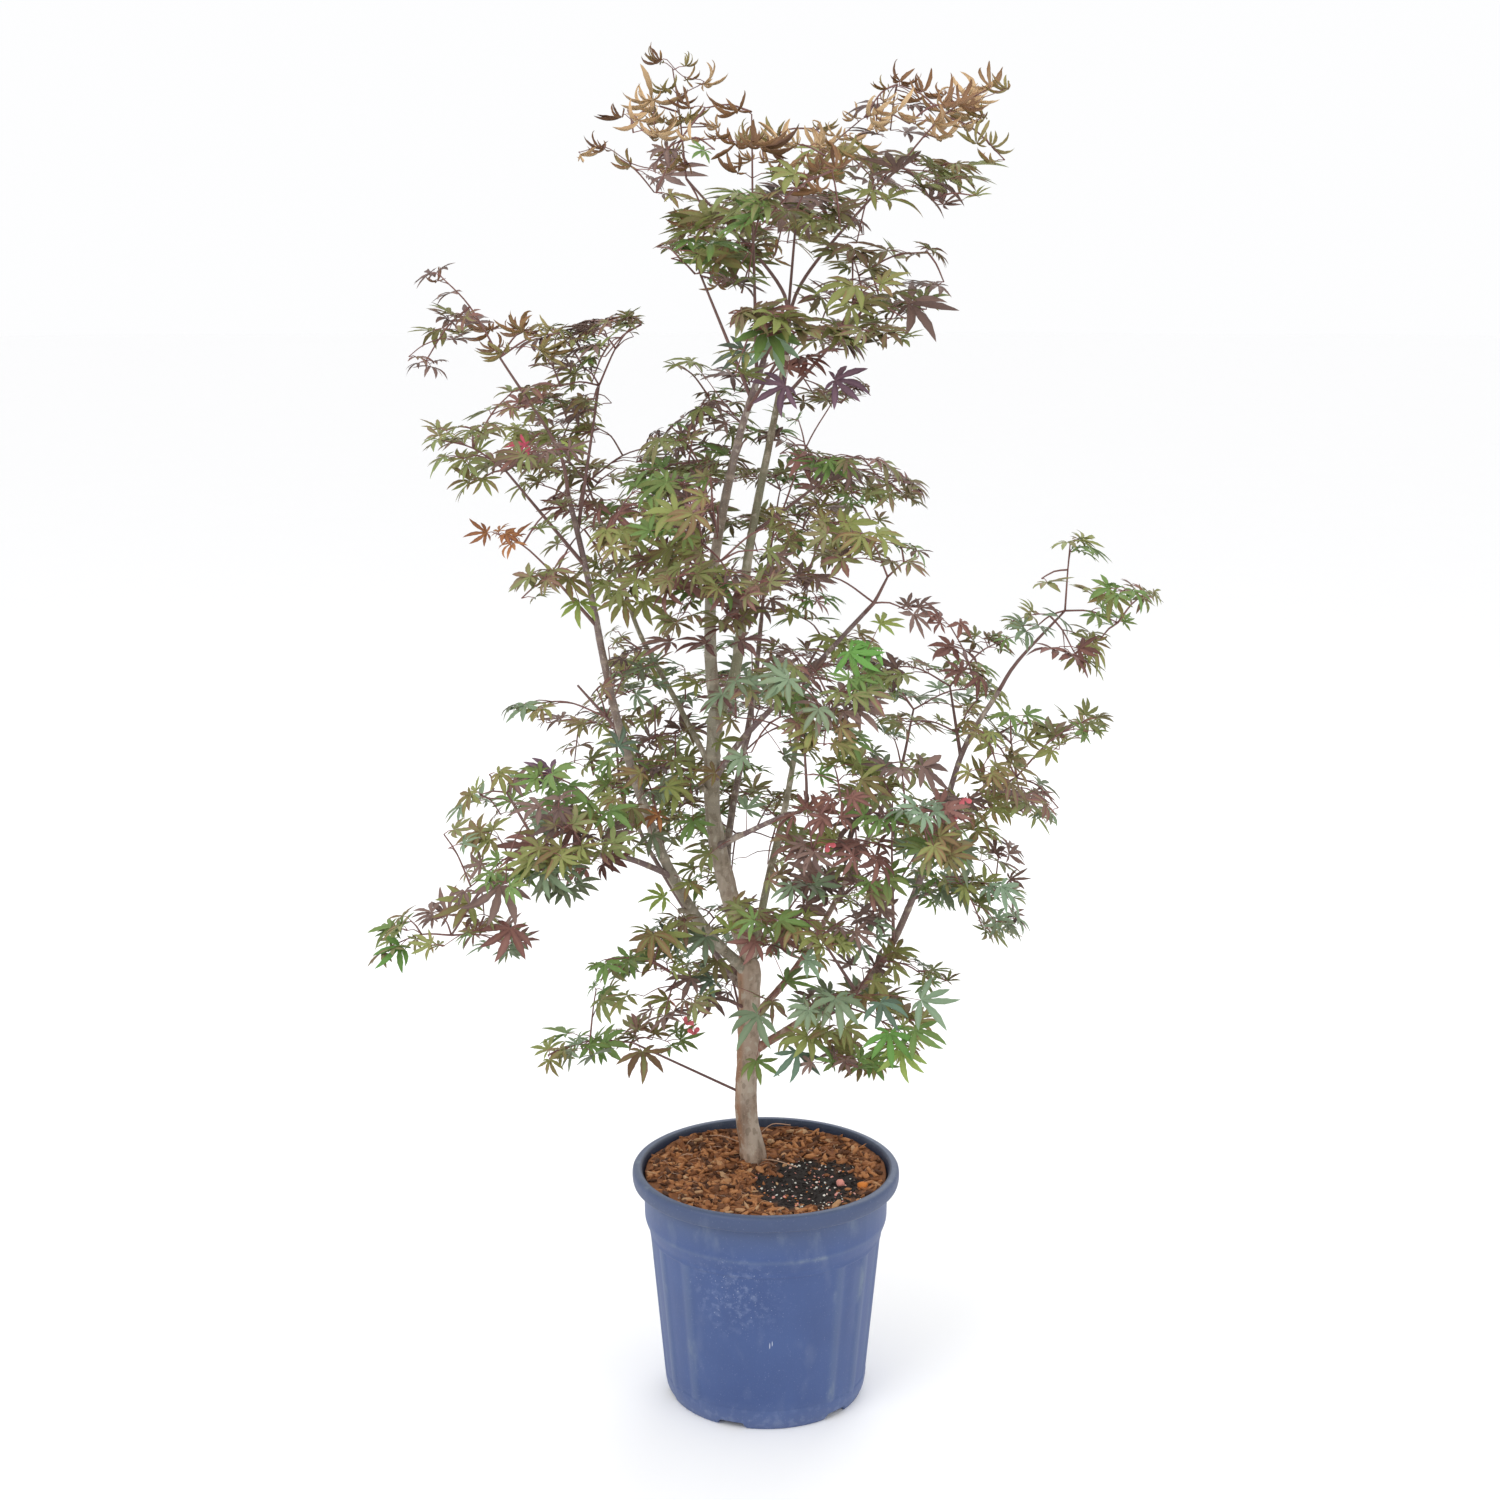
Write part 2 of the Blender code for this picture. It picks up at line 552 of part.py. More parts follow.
def stem_of(name):
    """The stem's line, from its limb to the near part of its space.

    At a limb's tip it starts 0.3 mm clear. On a limb's side it starts inside, and build_mass cuts it clear.
    """
    mass = MASSES[name]
    path, radii = limb_shape(mass.limb)
    run = np.concatenate([[0], np.cumsum(np.linalg.norm(np.diff(path, axis=0), axis=1))])
    run /= run[-1]
    foot = np.array([np.interp(mass.share, run, axis) for axis in path.T])
    centre = np.array(mass.centre)
    if mass.share == 1.0:
        heading = unit(path[-1] - path[-2])
        foot += heading * CLEAR
    else:
        heading = unit(centre - foot)
    radius = min(STEM_RADIUS, STEM_SHARE * np.interp(mass.share, run, radii))
    bend = foot + heading * STEM_BEND * np.linalg.norm(centre - foot)
    heart = centre + (bend - centre) * HEART_SHARE
    return np.array([foot, bend, heart]), np.array([radius, radius, TWIG_RADIUS])


def leaf_frame(heading, droop, roll):
    """Axes of a leaf: across, along its midrib, and up from its face."""
    along = unit(np.array([heading[0], heading[1], heading[2] - droop]))
    across = unit(np.cross(along, (0, 0, 1)))
    up = np.cross(across, along)
    rolled = math.cos(roll) * across + math.sin(roll) * up
    return np.array([rolled, along, np.cross(rolled, along)])


def leaf_outline(length):
    """Points round the blade in its own axes, from one side of the heel round to the other."""
    rim = [(HEEL_ANGLE, HEEL_SHARE)]
    for tip, sinus in zip(LEAF_TIPS, LEAF_SINUS):
        rim += [tip, sinus]
    rim += [LEAF_TIPS[-1], (-HEEL_ANGLE, HEEL_SHARE)]
    return np.array(
        [
            (
                -length * share * math.sin(math.radians(angle)),
                length * share * math.cos(math.radians(angle)),
                -LEAF_DROOP * length * share**2,
            )
            for angle, share in rim
        ]
    )


def leaf_shape(stalk, frame, length):
    """A lobed blade at the end of its stalk, as one closed shape: points and faces.

    The stalk's line starts inside the twig that bears it and ends at the leaf's palm.
    """
    palm = stalk[-1]
    blade = palm + leaf_outline(length) @ frame
    thick = LEAF_HALF_THICKNESS * length
    apexes = [palm + thick * frame[2], palm - thick * frame[2]]
    steps = [unit(after - before) for before, after in zip(stalk, stalk[1:])]
    headings = [steps[0], *(unit(a + b) for a, b in zip(steps, steps[1:]))]
    radii = np.linspace(TWIG_RADIUS if len(stalk) > 2 else STALK_RADIUS, STALK_RADIUS, len(headings))
    rings = []
    across = np.cross(headings[-1], frame[2])
    for centre, heading, radius in reversed(list(zip(stalk, headings, radii))):
        across = unit(across - heading * (across @ heading))
        up = np.cross(across, heading)
        turns = [math.radians(angle) for angle in (90, 210, 330)]
        rings = [centre + radius * (math.cos(turn) * across + math.sin(turn) * up) for turn in turns] + rings
    rim = len(blade)
    top, under = rim, rim + 1
    faces = []
    for i in range(rim - 1):
        faces.append((i + 1, i, top))
        faces.append((i, i + 1, under))
    first = rim + 2
    for low in range(first, first + len(rings) - 3, 3):
        for side in range(3):
            after = (side + 1) % 3
            faces.append((low + side, low + 3 + after, low + after))
            faces.append((low + side, low + 3 + side, low + 3 + after))
    left, right = 0, rim - 1
    stalk_top, stalk_left, stalk_right = range(first + len(rings) - 3, first + len(rings))
    faces += [(stalk_top, top, left), (stalk_top, left, stalk_left)]
    faces += [(stalk_top, right, top), (stalk_top, stalk_right, right)]
    faces += [(stalk_left, left, under), (stalk_left, under, stalk_right), (stalk_right, under, right)]
    faces.append((first, first + 1, first + 2))
    return np.array([*blade, *apexes, *rings]), faces


def samples_of_leaf(points, stalk):
    """Points over a leaf, close enough together that nothing slips between them."""
    rim, palm = points[: 2 * len(LEAF_TIPS) + 1], stalk[-1]
    middles = [palm + (p - palm) * t for p in rim for t in (1 / 3, 2 / 3)]
    edges = list((rim[1:] + rim[:-1]) / 2)
    return np.array([*rim, *middles, *edges, *along_line(stalk[-2:])])


def next_site(name, palms, obstacles, rng):
    """A free place for a spray: of the candidates, the one furthest from the leaves so far."""
    mass = MASSES[name]
    centre, reach = np.array(mass.centre), np.array(mass.reach)
    drawn = rng.normal(size=(CANDIDATES, 3))
    drawn *= (rng.uniform(0, 1, CANDIDATES) ** (1 / 3) * SITE_REACH / np.linalg.norm(drawn, axis=1))[:, None]
    drawn = centre + (drawn + (0, 0, SITE_LIFT)) * reach
    gaps = np.min(np.linalg.norm((drawn[:, None] - np.array(palms)[None]) / reach, axis=2), axis=1)
    for index in rng.permutation(np.argsort(-gaps)[:BEST_CANDIDATES]):
        if in_own_space(drawn[index][None], name) and obstacles.clear(drawn[index][None], name):
            return drawn[index]
    return None


def along_line(points, spacing=LINE_SPACING):
    """Samples along a bent line."""
    return np.concatenate(
        [
            a + (b - a) * np.linspace(0, 1, max(2, math.ceil(np.linalg.norm(b - a) / spacing)))[:, None]
            for a, b in zip(points, points[1:])
        ]
    )


def trees_of(shape):
    """Search trees of the shape's blade and of its stalk."""
    points = [tuple(p) for p in shape[0]]
    blade, stalk = shape[1][:BLADE_FACES], shape[1][BLADE_FACES:]
    return BVHTree.FromPolygons(points, blade), BVHTree.FromPolygons(points, stalk)


def crosses(shape, others, limbs):
    """Whether the shape cuts a limb, a blade here cuts anything there, or a stalk here cuts a blade there."""
    blade, stalk = trees_of(shape)
    if any(blade.overlap(limb) or stalk.overlap(limb) for limb in limbs):
        return True
    for other_blade, other_stalk in others:
        if blade.overlap(other_blade) or blade.overlap(other_stalk) or stalk.overlap(other_blade):
            return True
    return False


def grow(name, obstacles):
    """The twigs and leaves of one mass by the seeded rule: the stem's line, and a list of closed shapes.

    A twig reaches each site from the nearest place on the twigs so far, arches a little, and ends in a leaf.
    Just below its end two more leaves spread to either side. What would leave the space, touch a limb or cut
    its neighbours is turned and tried again, and in the end left out.
    """
    rng = np.random.default_rng([SEED, sorted(MASSES).index(name)])
    line, radii = stem_of(name)
    limbs = [tree for owner, tree in obstacles.trees.items() if owner != name]
    shapes, trees, nodes = [], [], [line[1], line[2]]

    def fitting_leaf(foot, heading, turn):
        for attempt in range(TRIES):
            stalk, frame, length = leaf_pose(foot, heading, turn, attempt / TRIES, rng)
            shape = leaf_shape(stalk, frame, length)
            spots = samples_of_leaf(shape[0], stalk)
            if in_own_space(spots, name) and not crosses(shape, trees, limbs):
                return shape
        return None

    palms = [line[2]]
    for _ in range(MOST_SITES):
        if len(shapes) >= MASSES[name].leaves:
            break
        site = next_site(name, palms, obstacles, rng)
        twig = None if site is None else twig_to(site, nodes, name, obstacles)
        if twig is None:
            continue
        heading = unit(twig[-1] - twig[-2])
        ending = fitting_leaf(twig, heading, 0)
        if ending is None:
            continue
        grown = [ending]
        trees.append(trees_of(ending))
        for turn, lag in PAIR_LAGS[: MASSES[name].leaves - len(shapes) - 1]:
            side = fitting_leaf((site - lag * heading)[None], heading, turn)
            if side:
                grown.append(side)
                trees.append(trees_of(side))
        shapes += grown
        palms += [shape[0][PALM] for shape in grown]
        nodes += [twig[1], site]
    return (line, radii), shapes


def twig_to(site, nodes, name, obstacles):
    """A clear arching line to the site from the nearest of the nodes, or None."""
    for start in sorted(nodes, key=lambda p: np.linalg.norm(site - p))[:NEAREST_NODES]:
        reach = np.linalg.norm(site - start)
        start = start - ROOT_DEPTH * (site - start) / reach
        middle = (start + site) / 2 + (0, 0, TWIG_ARCH * reach)
        spots = along_line((start, middle, site))
        inner = spots[np.linalg.norm(spots - start, axis=1) > FREE_RUN]
        if obstacles.clear(spots, name) and in_own_space(inner, name):
            return np.array([start, middle, site])
    return None


def leaf_pose(foot, heading, turn, stray, rng):
    """A leaf's line, frame and length. turn is -1 or 1 at the sides, and 0 for one that points ahead."""
    flat = unit(np.array([heading[0], heading[1], 0.0]) + 1e-6)
    swing = rng.normal(0, LEAF_SWING[0] + LEAF_SWING[1] * stray)
    side = turn * LEAF_SPREAD + np.clip(swing, -MOST_STRAY, MOST_STRAY)
    outward = unit(
        np.array(
            [
                flat[0] * math.cos(side) - flat[1] * math.sin(side),
                flat[0] * math.sin(side) + flat[1] * math.cos(side),
                STALK_RISE * heading[2] + rng.normal(0, STALK_NOD),
            ]
        )
    )
    size = (1 + LEAF_SIZE_SPREAD * rng.uniform(-1, 1)) * (1 - MOST_SHRINKAGE * stray)
    length = LEAF_LENGTH * size
    palm = foot[-1] + outward * STALK_LENGTH * size
    frame = leaf_frame(outward, rng.uniform(*LEAF_TILT), rng.normal(0, LEAF_ROLL))
    return np.array([*foot, palm]), frame, length


def build_mass(name, stem, shapes, finish):
    """One closed body: the stem, with the twigs and the leaves joined on."""
    made = add_object(name, *tube(*stem, STEM_SIDES), finish)
    if MASSES[name].share < 1.0:
        join(made, [limb_object(MASSES[name].limb, finish, CLEAR)], "DIFFERENCE")
    join(made, [add_object("leaf", points, faces, finish) for points, faces in shapes], solver="MANIFOLD")
    made.data.shade_flat()


def clear_scene():
    for obj in list(bpy.data.objects):
        bpy.data.objects.remove(obj)


def main():
    clear_scene()
    build_pot(material("pot_plastic", (0.075, 0.125, 0.270), 0.45))
    build_mix(material("potting_mix", (0.23, 0.10, 0.04), 0.95))
    bark = material("bark", (0.36, 0.27, 0.21), 0.8)
    obstacles = Obstacles()
    for name in LIMBS:
        build_limb(name, bark)
        obstacles.add(name, *limb_shape(name))
    for name in MASSES:
        obstacles.add(name, *stem_of(name))
    obstacles.freeze()
    leaf = material("foliage", (0.16, 0.13, 0.06), 0.6)
    for name in MASSES:
        stem, shapes = grow(name, obstacles)
        print(f"{name}: {len(shapes)} leaves")
        build_mass(name, stem, shapes, leaf)


main()
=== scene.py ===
# %% [markdown]
# # A young maple in a nursery pot
# This lesson dresses a packed set of plain solids until they look like a living plant. The solids give the
# places and the sizes: a pot, its potting mix, a trunk that forks low, long boughs, and one space for each
# mass of foliage. Everything here is built round them in metres, with +Z up.
# The work goes from the outside in: camera and light first, then the pot, the mix, the bark, and last the
# thousands of small things, which are the twigs and the leaves.

# %% Load the frame
import json
import math
from collections import namedtuple

import bpy
import numpy as np
from mathutils import Euler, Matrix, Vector, noise

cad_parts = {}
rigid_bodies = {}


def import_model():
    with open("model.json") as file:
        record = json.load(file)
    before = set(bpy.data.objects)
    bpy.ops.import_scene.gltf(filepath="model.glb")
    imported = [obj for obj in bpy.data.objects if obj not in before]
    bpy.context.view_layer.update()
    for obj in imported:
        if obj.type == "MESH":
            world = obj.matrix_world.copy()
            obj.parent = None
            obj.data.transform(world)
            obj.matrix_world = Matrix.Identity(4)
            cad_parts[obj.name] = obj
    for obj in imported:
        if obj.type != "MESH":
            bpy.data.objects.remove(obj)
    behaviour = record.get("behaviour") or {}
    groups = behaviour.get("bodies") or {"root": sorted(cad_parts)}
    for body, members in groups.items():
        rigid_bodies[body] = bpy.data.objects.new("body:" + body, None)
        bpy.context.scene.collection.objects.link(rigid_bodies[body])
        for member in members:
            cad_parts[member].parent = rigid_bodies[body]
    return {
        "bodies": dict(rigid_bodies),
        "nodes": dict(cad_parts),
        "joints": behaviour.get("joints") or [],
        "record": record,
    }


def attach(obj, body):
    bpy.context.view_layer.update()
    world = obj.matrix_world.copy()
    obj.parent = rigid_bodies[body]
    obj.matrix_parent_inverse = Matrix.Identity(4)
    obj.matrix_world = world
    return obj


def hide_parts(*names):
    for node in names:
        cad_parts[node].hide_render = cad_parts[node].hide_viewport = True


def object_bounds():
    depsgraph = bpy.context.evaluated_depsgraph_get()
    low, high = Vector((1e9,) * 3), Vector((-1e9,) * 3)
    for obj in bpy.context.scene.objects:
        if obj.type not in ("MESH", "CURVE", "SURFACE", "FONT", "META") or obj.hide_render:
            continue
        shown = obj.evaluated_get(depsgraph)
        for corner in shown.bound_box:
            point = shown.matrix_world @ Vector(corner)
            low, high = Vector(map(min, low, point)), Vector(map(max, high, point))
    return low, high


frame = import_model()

solid_box = [list(corner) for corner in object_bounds()]
print("the solids fill", [round(high - low, 3) for low, high in zip(*solid_box)], "metres")

# %% [markdown]
# ## The camera
# A portrait of a plant is taken from above its middle, tilted down so that the top of the pot shows.
# A real camera has a focal length and stands at a distance. Blender's camera takes the focal length in
# millimetres for a sensor 36 mm wide, so a focal length measured in pixels is scaled by 36 over the image's
# width. The tilt is a turn about X: 90 degrees looks at the horizon, and less looks down.

# %% Camera
IMAGE_WIDTH = 1500
FOCAL_PIXELS = 2282
CAMERA_PLACE = (-0.0165, -2.25, 1.168)
CAMERA_TILT = 11.95

lens = bpy.data.cameras.new("camera")
lens.lens = 36 * FOCAL_PIXELS / IMAGE_WIDTH
camera = bpy.data.objects.new("camera", lens)
camera.location = CAMERA_PLACE
camera.rotation_euler = (math.radians(90 - CAMERA_TILT), 0, 0)
bpy.context.scene.collection.objects.link(camera)
bpy.context.scene.camera = camera
print("focal length", round(lens.lens, 1), "mm")

# %% [markdown]
# ## A pale floor and soft light
# A plant on a white ground is lit from all round, so that the leaves have no hard shadows. A bright world
# gives that. Three large area lights add just enough direction for the leaves to read as solid: a key at the
# left, a weak fill at the right and one behind. The floor is one big disc.

# %% Floor, lights and world
FLOOR_RADIUS = 40
FLOOR_SIDES = 96
WORLD_COLOUR = (0.988, 0.990, 0.997, 1)
# Each light's place, what it points at, how wide it is in metres, and its power in watts.
LIGHTS = {
    "key": ((-2.2, -2.6, 3.4), (0, 0, 0.7), 2.4, 52),
    "fill": ((2.6, -2.2, 1.9), (0, 0, 0.6), 2.2, 14),
    "back": ((0.8, 2.8, 2.8), (0, 0, 0.8), 2.4, 30),
}


def add_mesh(name, points, faces, *finishes):
    """A mesh object from arrays or lists of points and faces."""
    mesh = bpy.data.meshes.new(name)
    mesh.from_pydata(np.asarray(points, float).tolist(), [], [list(map(int, face)) for face in faces])
    for finish in finishes:
        mesh.materials.append(finish)
    made = bpy.data.objects.new(name, mesh)
    bpy.context.scene.collection.objects.link(made)
    return made


def add_light(name, place, target, size, power):
    light = bpy.data.lights.new(name, "AREA")
    light.shape, light.size, light.energy = "DISK", size, power
    made = bpy.data.objects.new(name, light)
    made.location = place
    made.rotation_euler = (Vector(target) - Vector(place)).to_track_quat("-Z", "Y").to_euler()
    bpy.context.scene.collection.objects.link(made)


turns = np.linspace(0, 2 * np.pi, FLOOR_SIDES, endpoint=False)
rim = np.stack([FLOOR_RADIUS * np.cos(turns), FLOOR_RADIUS * np.sin(turns), 0 * turns], axis=1)
floor = add_mesh("floor", rim, [range(FLOOR_SIDES)])

for name, settings in LIGHTS.items():
    add_light(name, *settings)

world = bpy.data.worlds.new("studio")
world.use_nodes = True
world.node_tree.nodes["Background"].inputs["Color"].default_value = WORLD_COLOUR
world.node_tree.nodes["Background"].inputs["Strength"].default_value = 1.0
bpy.context.scene.world = world
bpy.context.scene.view_settings.view_transform = "Standard"
print(len(LIGHTS), "lights over a floor", 2 * FLOOR_RADIUS, "m across")

# %% [markdown]
# ## Writing shader maths as plain expressions
# A procedural material is a small sum: noise turned into masks, and masks that mix colours. Wiring that by
# hand takes dozens of lines, so one small class wraps a node's output and lets Python's own operators add the
# Math nodes: `1 - mask` or `mask * 0.5` then read as they do on paper. A second class holds one material and
# has one method that makes any other kind of node.

# %% The two classes
# A Mix node has sockets for each kind of value, so its colours are told apart by number.
MIX_FIRST, MIX_SECOND, MIX_RESULT = 6, 7, 2


class Value:
    """One output of a shader node. Arithmetic on it adds Math nodes."""

    def __init__(self, paint, socket):
        self.paint, self.socket = paint, socket

    def math(self, operation, *terms):
        return self.paint.node("ShaderNodeMath", {"operation": operation}, dict(enumerate(terms)))

    def __add__(self, other):
        return self.math("ADD", self, other)

    def __sub__(self, other):
        return self.math("SUBTRACT", self, other)

    def __rsub__(self, other):
        return self.math("SUBTRACT", other, self)

    def __mul__(self, other):
        return self.math("MULTIPLY", self, other)

    __radd__, __rmul__ = __add__, __mul__


class Paint:
    """One material: a Principled shader, and the nodes that feed it."""

    def __init__(self, name):
        self.material = bpy.data.materials.new(name)
        self.material.use_nodes = True
        self.tree = self.material.node_tree
        self.shader = self.tree.nodes["Principled BSDF"]

    def feed(self, socket, value):
        if isinstance(value, Value):
            self.tree.links.new(value.socket, socket)
        else:
            socket.default_value = value

    def node(self, kind, settings=None, inputs=None, output=0):
        """Any node: its settings are set first, then its sockets get values or links."""
        made = self.tree.nodes.new(kind)
        for name, value in (settings or {}).items():
            setattr(made, name, value)
        for name, value in (inputs or {}).items():
            self.feed(made.inputs[name], value)
        return Value(self, made.outputs[output])

    def place(self, stretch=(1, 1, 1)):
        """Where a point lies on the piece, in metres, stretched along each axis."""
        spot = self.node("ShaderNodeTexCoord", output="Object")
        return self.node("ShaderNodeMapping", None, {"Vector": spot, "Scale": stretch})

    def noise(self, scale, detail=4, stretch=(1, 1, 1)):
        inputs = {"Vector": self.place(stretch), "Scale": scale, "Detail": detail}
        return self.node("ShaderNodeTexNoise", None, inputs)

    def band(self, value, low, high):
        """0 where value is under low and 1 over high, with a smooth ramp between."""
        settings = {"interpolation_type": "SMOOTHSTEP"}
        return self.node("ShaderNodeMapRange", settings, {"Value": value, "From Min": low, "From Max": high})

    def mix(self, mask, first, second):
        """Colour first where mask is 0, and second where it is 1."""
        colours = {MIX_FIRST: first, MIX_SECOND: second}
        colours = {key: (*c, 1) if isinstance(c, tuple) else c for key, c in colours.items()}
        return self.node("ShaderNodeMix", {"data_type": "RGBA"}, {0: mask, **colours}, output=MIX_RESULT)

    def stored(self, name):
        """A number kept on each point of the mesh."""
        return self.node("ShaderNodeAttribute", {"attribute_name": name}, output="Fac")

    def bump(self, height, distance):
        return self.node("ShaderNodeBump", None, {"Height": height, "Distance": distance})

    def finish(self, colour, roughness, bump=None, specular=0.5):
        self.feed(self.shader.inputs["Base Color"], colour)
        self.feed(self.shader.inputs["Roughness"], roughness)
        self.shader.inputs["Specular IOR Level"].default_value = specular
        if bump:
            self.feed(self.shader.inputs["Normal"], bump)
        return self.material


def rgb(red, green, blue):
    """A colour given in screen values from 0 to 255, as the linear numbers that a shader takes."""
    shares = (c / 255 for c in (red, green, blue))
    return tuple(c / 12.92 if c <= 0.04045 else ((c + 0.055) / 1.055) ** 2.4 for c in shares)


pale = Paint("pale_floor")
floor_colour = pale.mix(pale.noise(3), (0.988, 0.988, 0.988), (0.996, 0.996, 0.996))
floor.data.materials.append(pale.finish(floor_colour, 0.9))
print("the floor's material has", len(pale.tree.nodes), "nodes")

# %% [markdown]
# ## Sizes that the solids were made from
# A piece that replaces a solid grows from the same few sizes as the solid. The pot is a turned profile, each
# limb is a route of a few points with a radius at its foot and its tip, and each mass of foliage is a centre
# and a reach. They are written again here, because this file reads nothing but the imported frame.

# %% Pot sizes
POT_HEIGHT = 0.248
RIM_RADIUS = 0.140
MOUTH_RADIUS = 0.1296
COLLAR_RADIUS = 0.1278
BODY_TOP_RADIUS = 0.1222
BODY_FOOT_RADIUS = 0.1066
FOOT_RADIUS = 0.1015
RIM_BAND = 0.0165
COLLAR_FOOT = 0.194
BODY_TOP = 0.181
BODY_FOOT = 0.016
WALL = 0.0025
FOOT_RING = 0.0115
FOOT_CORNER = (0.1048, 0.007)
INNER_FLOOR_RADIUS = 0.1029
INNER_FLOOR = 0.006
MIX_TOP = 0.2335
MIX_MOUND = 0.0025
TRUNK_FOOT = (-0.013, 0.045, MIX_TOP + MIX_MOUND)
print("the pot is", POT_HEIGHT, "m high and", 2 * RIM_RADIUS, "m across its rim")

# %% [markdown]
# ## A heap of small shapes
# Blender is quick with one big mesh and slow with thousands of small objects. So the chips, twigs and leaves
# are gathered into heaps: arrays of points and of triangles that become one mesh at the end. A heap also
# carries numbers for each point, which a material reads back by name, and says which finish each face takes.

# %% Heap
class Heap:
    """Shapes gathered into one mesh. Extra numbers given by name are kept on each point."""

    def __init__(self):
        self.points, self.faces, self.slots, self.marks, self.count = [], [], [], {}, 0

    def add(self, points, faces, slot=0, **marks):
        self.points.append(points)
        self.faces.append(np.asarray(faces) + self.count)
        self.slots.append(np.full(len(faces), slot))
        for name, value in marks.items():
            self.marks.setdefault(name, []).append(np.broadcast_to(value, len(points)))
        self.count += len(points)

    def make(self, name, material_slot, finishes, replaced=(), smooth=True):
        mesh = bpy.data.meshes.new(name)
        faces = np.concatenate(self.faces)
        mesh.from_pydata(np.concatenate(self.points).tolist(), [], faces.tolist())
        for finish in finishes:
            mesh.materials.append(finish)
        mesh.polygons.foreach_set("material_index", np.concatenate(self.slots))
        mesh.polygons.foreach_set("use_smooth", np.full(len(faces), smooth))
        for mark, values in self.marks.items():
            kept = mesh.attributes.new(mark, "FLOAT", "POINT")
            kept.data.foreach_set("value", np.concatenate(values).astype(np.float32))
        made = bpy.data.objects.new(name, mesh)
        bpy.context.scene.collection.objects.link(made)
        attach(made, "root")
        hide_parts(*replaced)
        print(name, "has", len(faces), "triangles")


def grid_faces(rows, columns):
    """Triangles between rows of points, where each row closes on itself."""
    row, column = np.meshgrid(np.arange(rows - 1), np.arange(columns), indexing="ij")
    low, after = row * columns, (column + 1) % columns
    a, b = low + column, low + after
    return np.stack([a, b, b + columns, a, b + columns, a + columns], axis=-1).reshape(-1, 3)


def hump(distance, width):
    """1 at no distance, and fading to nothing over about twice the width."""
    return np.exp(-((distance / width) ** 2))


print("a closed strip of 2 rows of 10 points has", len(grid_faces(2, 10)), "triangles")

# %% [markdown]
# ## The pot's shape
# A nursery pot is moulded in one shot of plastic: a thick rolled rim, a collar under it, a step in to a body
# that narrows downwards, and a foot with drain notches. Shallow panels between upright ribs stiffen the wall.
# It could be a Screw modifier on a curve, but the ribs and notches change round the pot, so the profile is
# written as corners, each rounded by a small bend, and every point is then turned and nudged with numpy.

# %% Pot profile
CORNER_STEPS = 5
PANEL_EDGE = 0.001


def rounded(corners):
    """A profile through (radius, height, rounding) corners."""
    spots = np.array([corner[:2] for corner in corners])
    line = [spots[0]]
    for before, (corner, size), after in zip(spots, zip(spots[1:], [c[2] for c in corners[1:]]), spots[2:]):
        start = corner + (before - corner) * min(size / np.linalg.norm(before - corner), 0.48)
        end = corner + (after - corner) * min(size / np.linalg.norm(after - corner), 0.48)
        for t in np.linspace(0, 1, CORNER_STEPS):
            line.append((1 - t) ** 2 * start + 2 * t * (1 - t) * corner + t**2 * end)
    return np.array([*line, spots[-1]])


PANEL_FOOT, PANEL_TOP = BODY_FOOT + 0.005, BODY_TOP - 0.005
RIM_FOOT = POT_HEIGHT - RIM_BAND
profile = rounded(
    (
        (0, 0, 0), (FOOT_RADIUS - FOOT_RING, 0, 0.0008), (FOOT_RADIUS, 0, 0.0014), (*FOOT_CORNER, 0.003),
        (BODY_FOOT_RADIUS, BODY_FOOT, 0.003), (BODY_FOOT_RADIUS + 0.0002, PANEL_FOOT - PANEL_EDGE, 0.0008),
        (BODY_FOOT_RADIUS + 0.0007, PANEL_FOOT + 2 * PANEL_EDGE, 0.0008),
        (BODY_TOP_RADIUS - 0.0007, PANEL_TOP - 2 * PANEL_EDGE, 0.0008),
        (BODY_TOP_RADIUS - 0.0002, PANEL_TOP + PANEL_EDGE, 0.0008), (BODY_TOP_RADIUS, BODY_TOP, 0.003),
        (COLLAR_RADIUS - 0.0006, COLLAR_FOOT, 0.004), (COLLAR_RADIUS, RIM_FOOT, 0.0006),
        (RIM_RADIUS - 0.0016, RIM_FOOT, 0.0022), (RIM_RADIUS, RIM_FOOT + 0.006, 0.004),
        (RIM_RADIUS - 0.0003, POT_HEIGHT, 0.0052), (MOUTH_RADIUS, POT_HEIGHT, 0.0030),
        (MOUTH_RADIUS - 0.0012, POT_HEIGHT - 0.008, 0.004), (COLLAR_RADIUS - WALL, RIM_FOOT - 0.004, 0.003),
        (BODY_TOP_RADIUS - WALL, BODY_TOP, 0.003), (INNER_FLOOR_RADIUS, INNER_FLOOR, 0.002),
        (0, INNER_FLOOR, 0),
    )
)
print("the profile has", len(profile), "points")

# %% Turn the profile and press the ribs and notches into it
POT_TURNS = 288
SECTOR = 120
RIBS = (38.5, 57.0, 77.0)
RIB_WIDTH = 2.3
RIB_FULLNESS = 1.6
NOTCHES = (45.0, 99.5)
NOTCH_WIDTH = 8.0
NOTCH_EDGE, NOTCH_STEEPNESS = 0.30, 5
PANEL_DEPTH = 0.0012
NOTCH_HEIGHT = 0.0068
SAG, SAG_FOOT = 0.0004, 0.05

around = np.linspace(0, 360, POT_TURNS, endpoint=False)
in_sector = around % SECTOR
rib = sum(hump((in_sector - place + 60) % SECTOR - 60, RIB_WIDTH) for place in RIBS)
notch = sum(hump((in_sector - place + 60) % SECTOR - 60, NOTCH_WIDTH) for place in NOTCHES)
rib = np.clip(rib * RIB_FULLNESS, 0, 1)
notch = np.clip((notch - NOTCH_EDGE) * NOTCH_STEEPNESS, 0, 1)

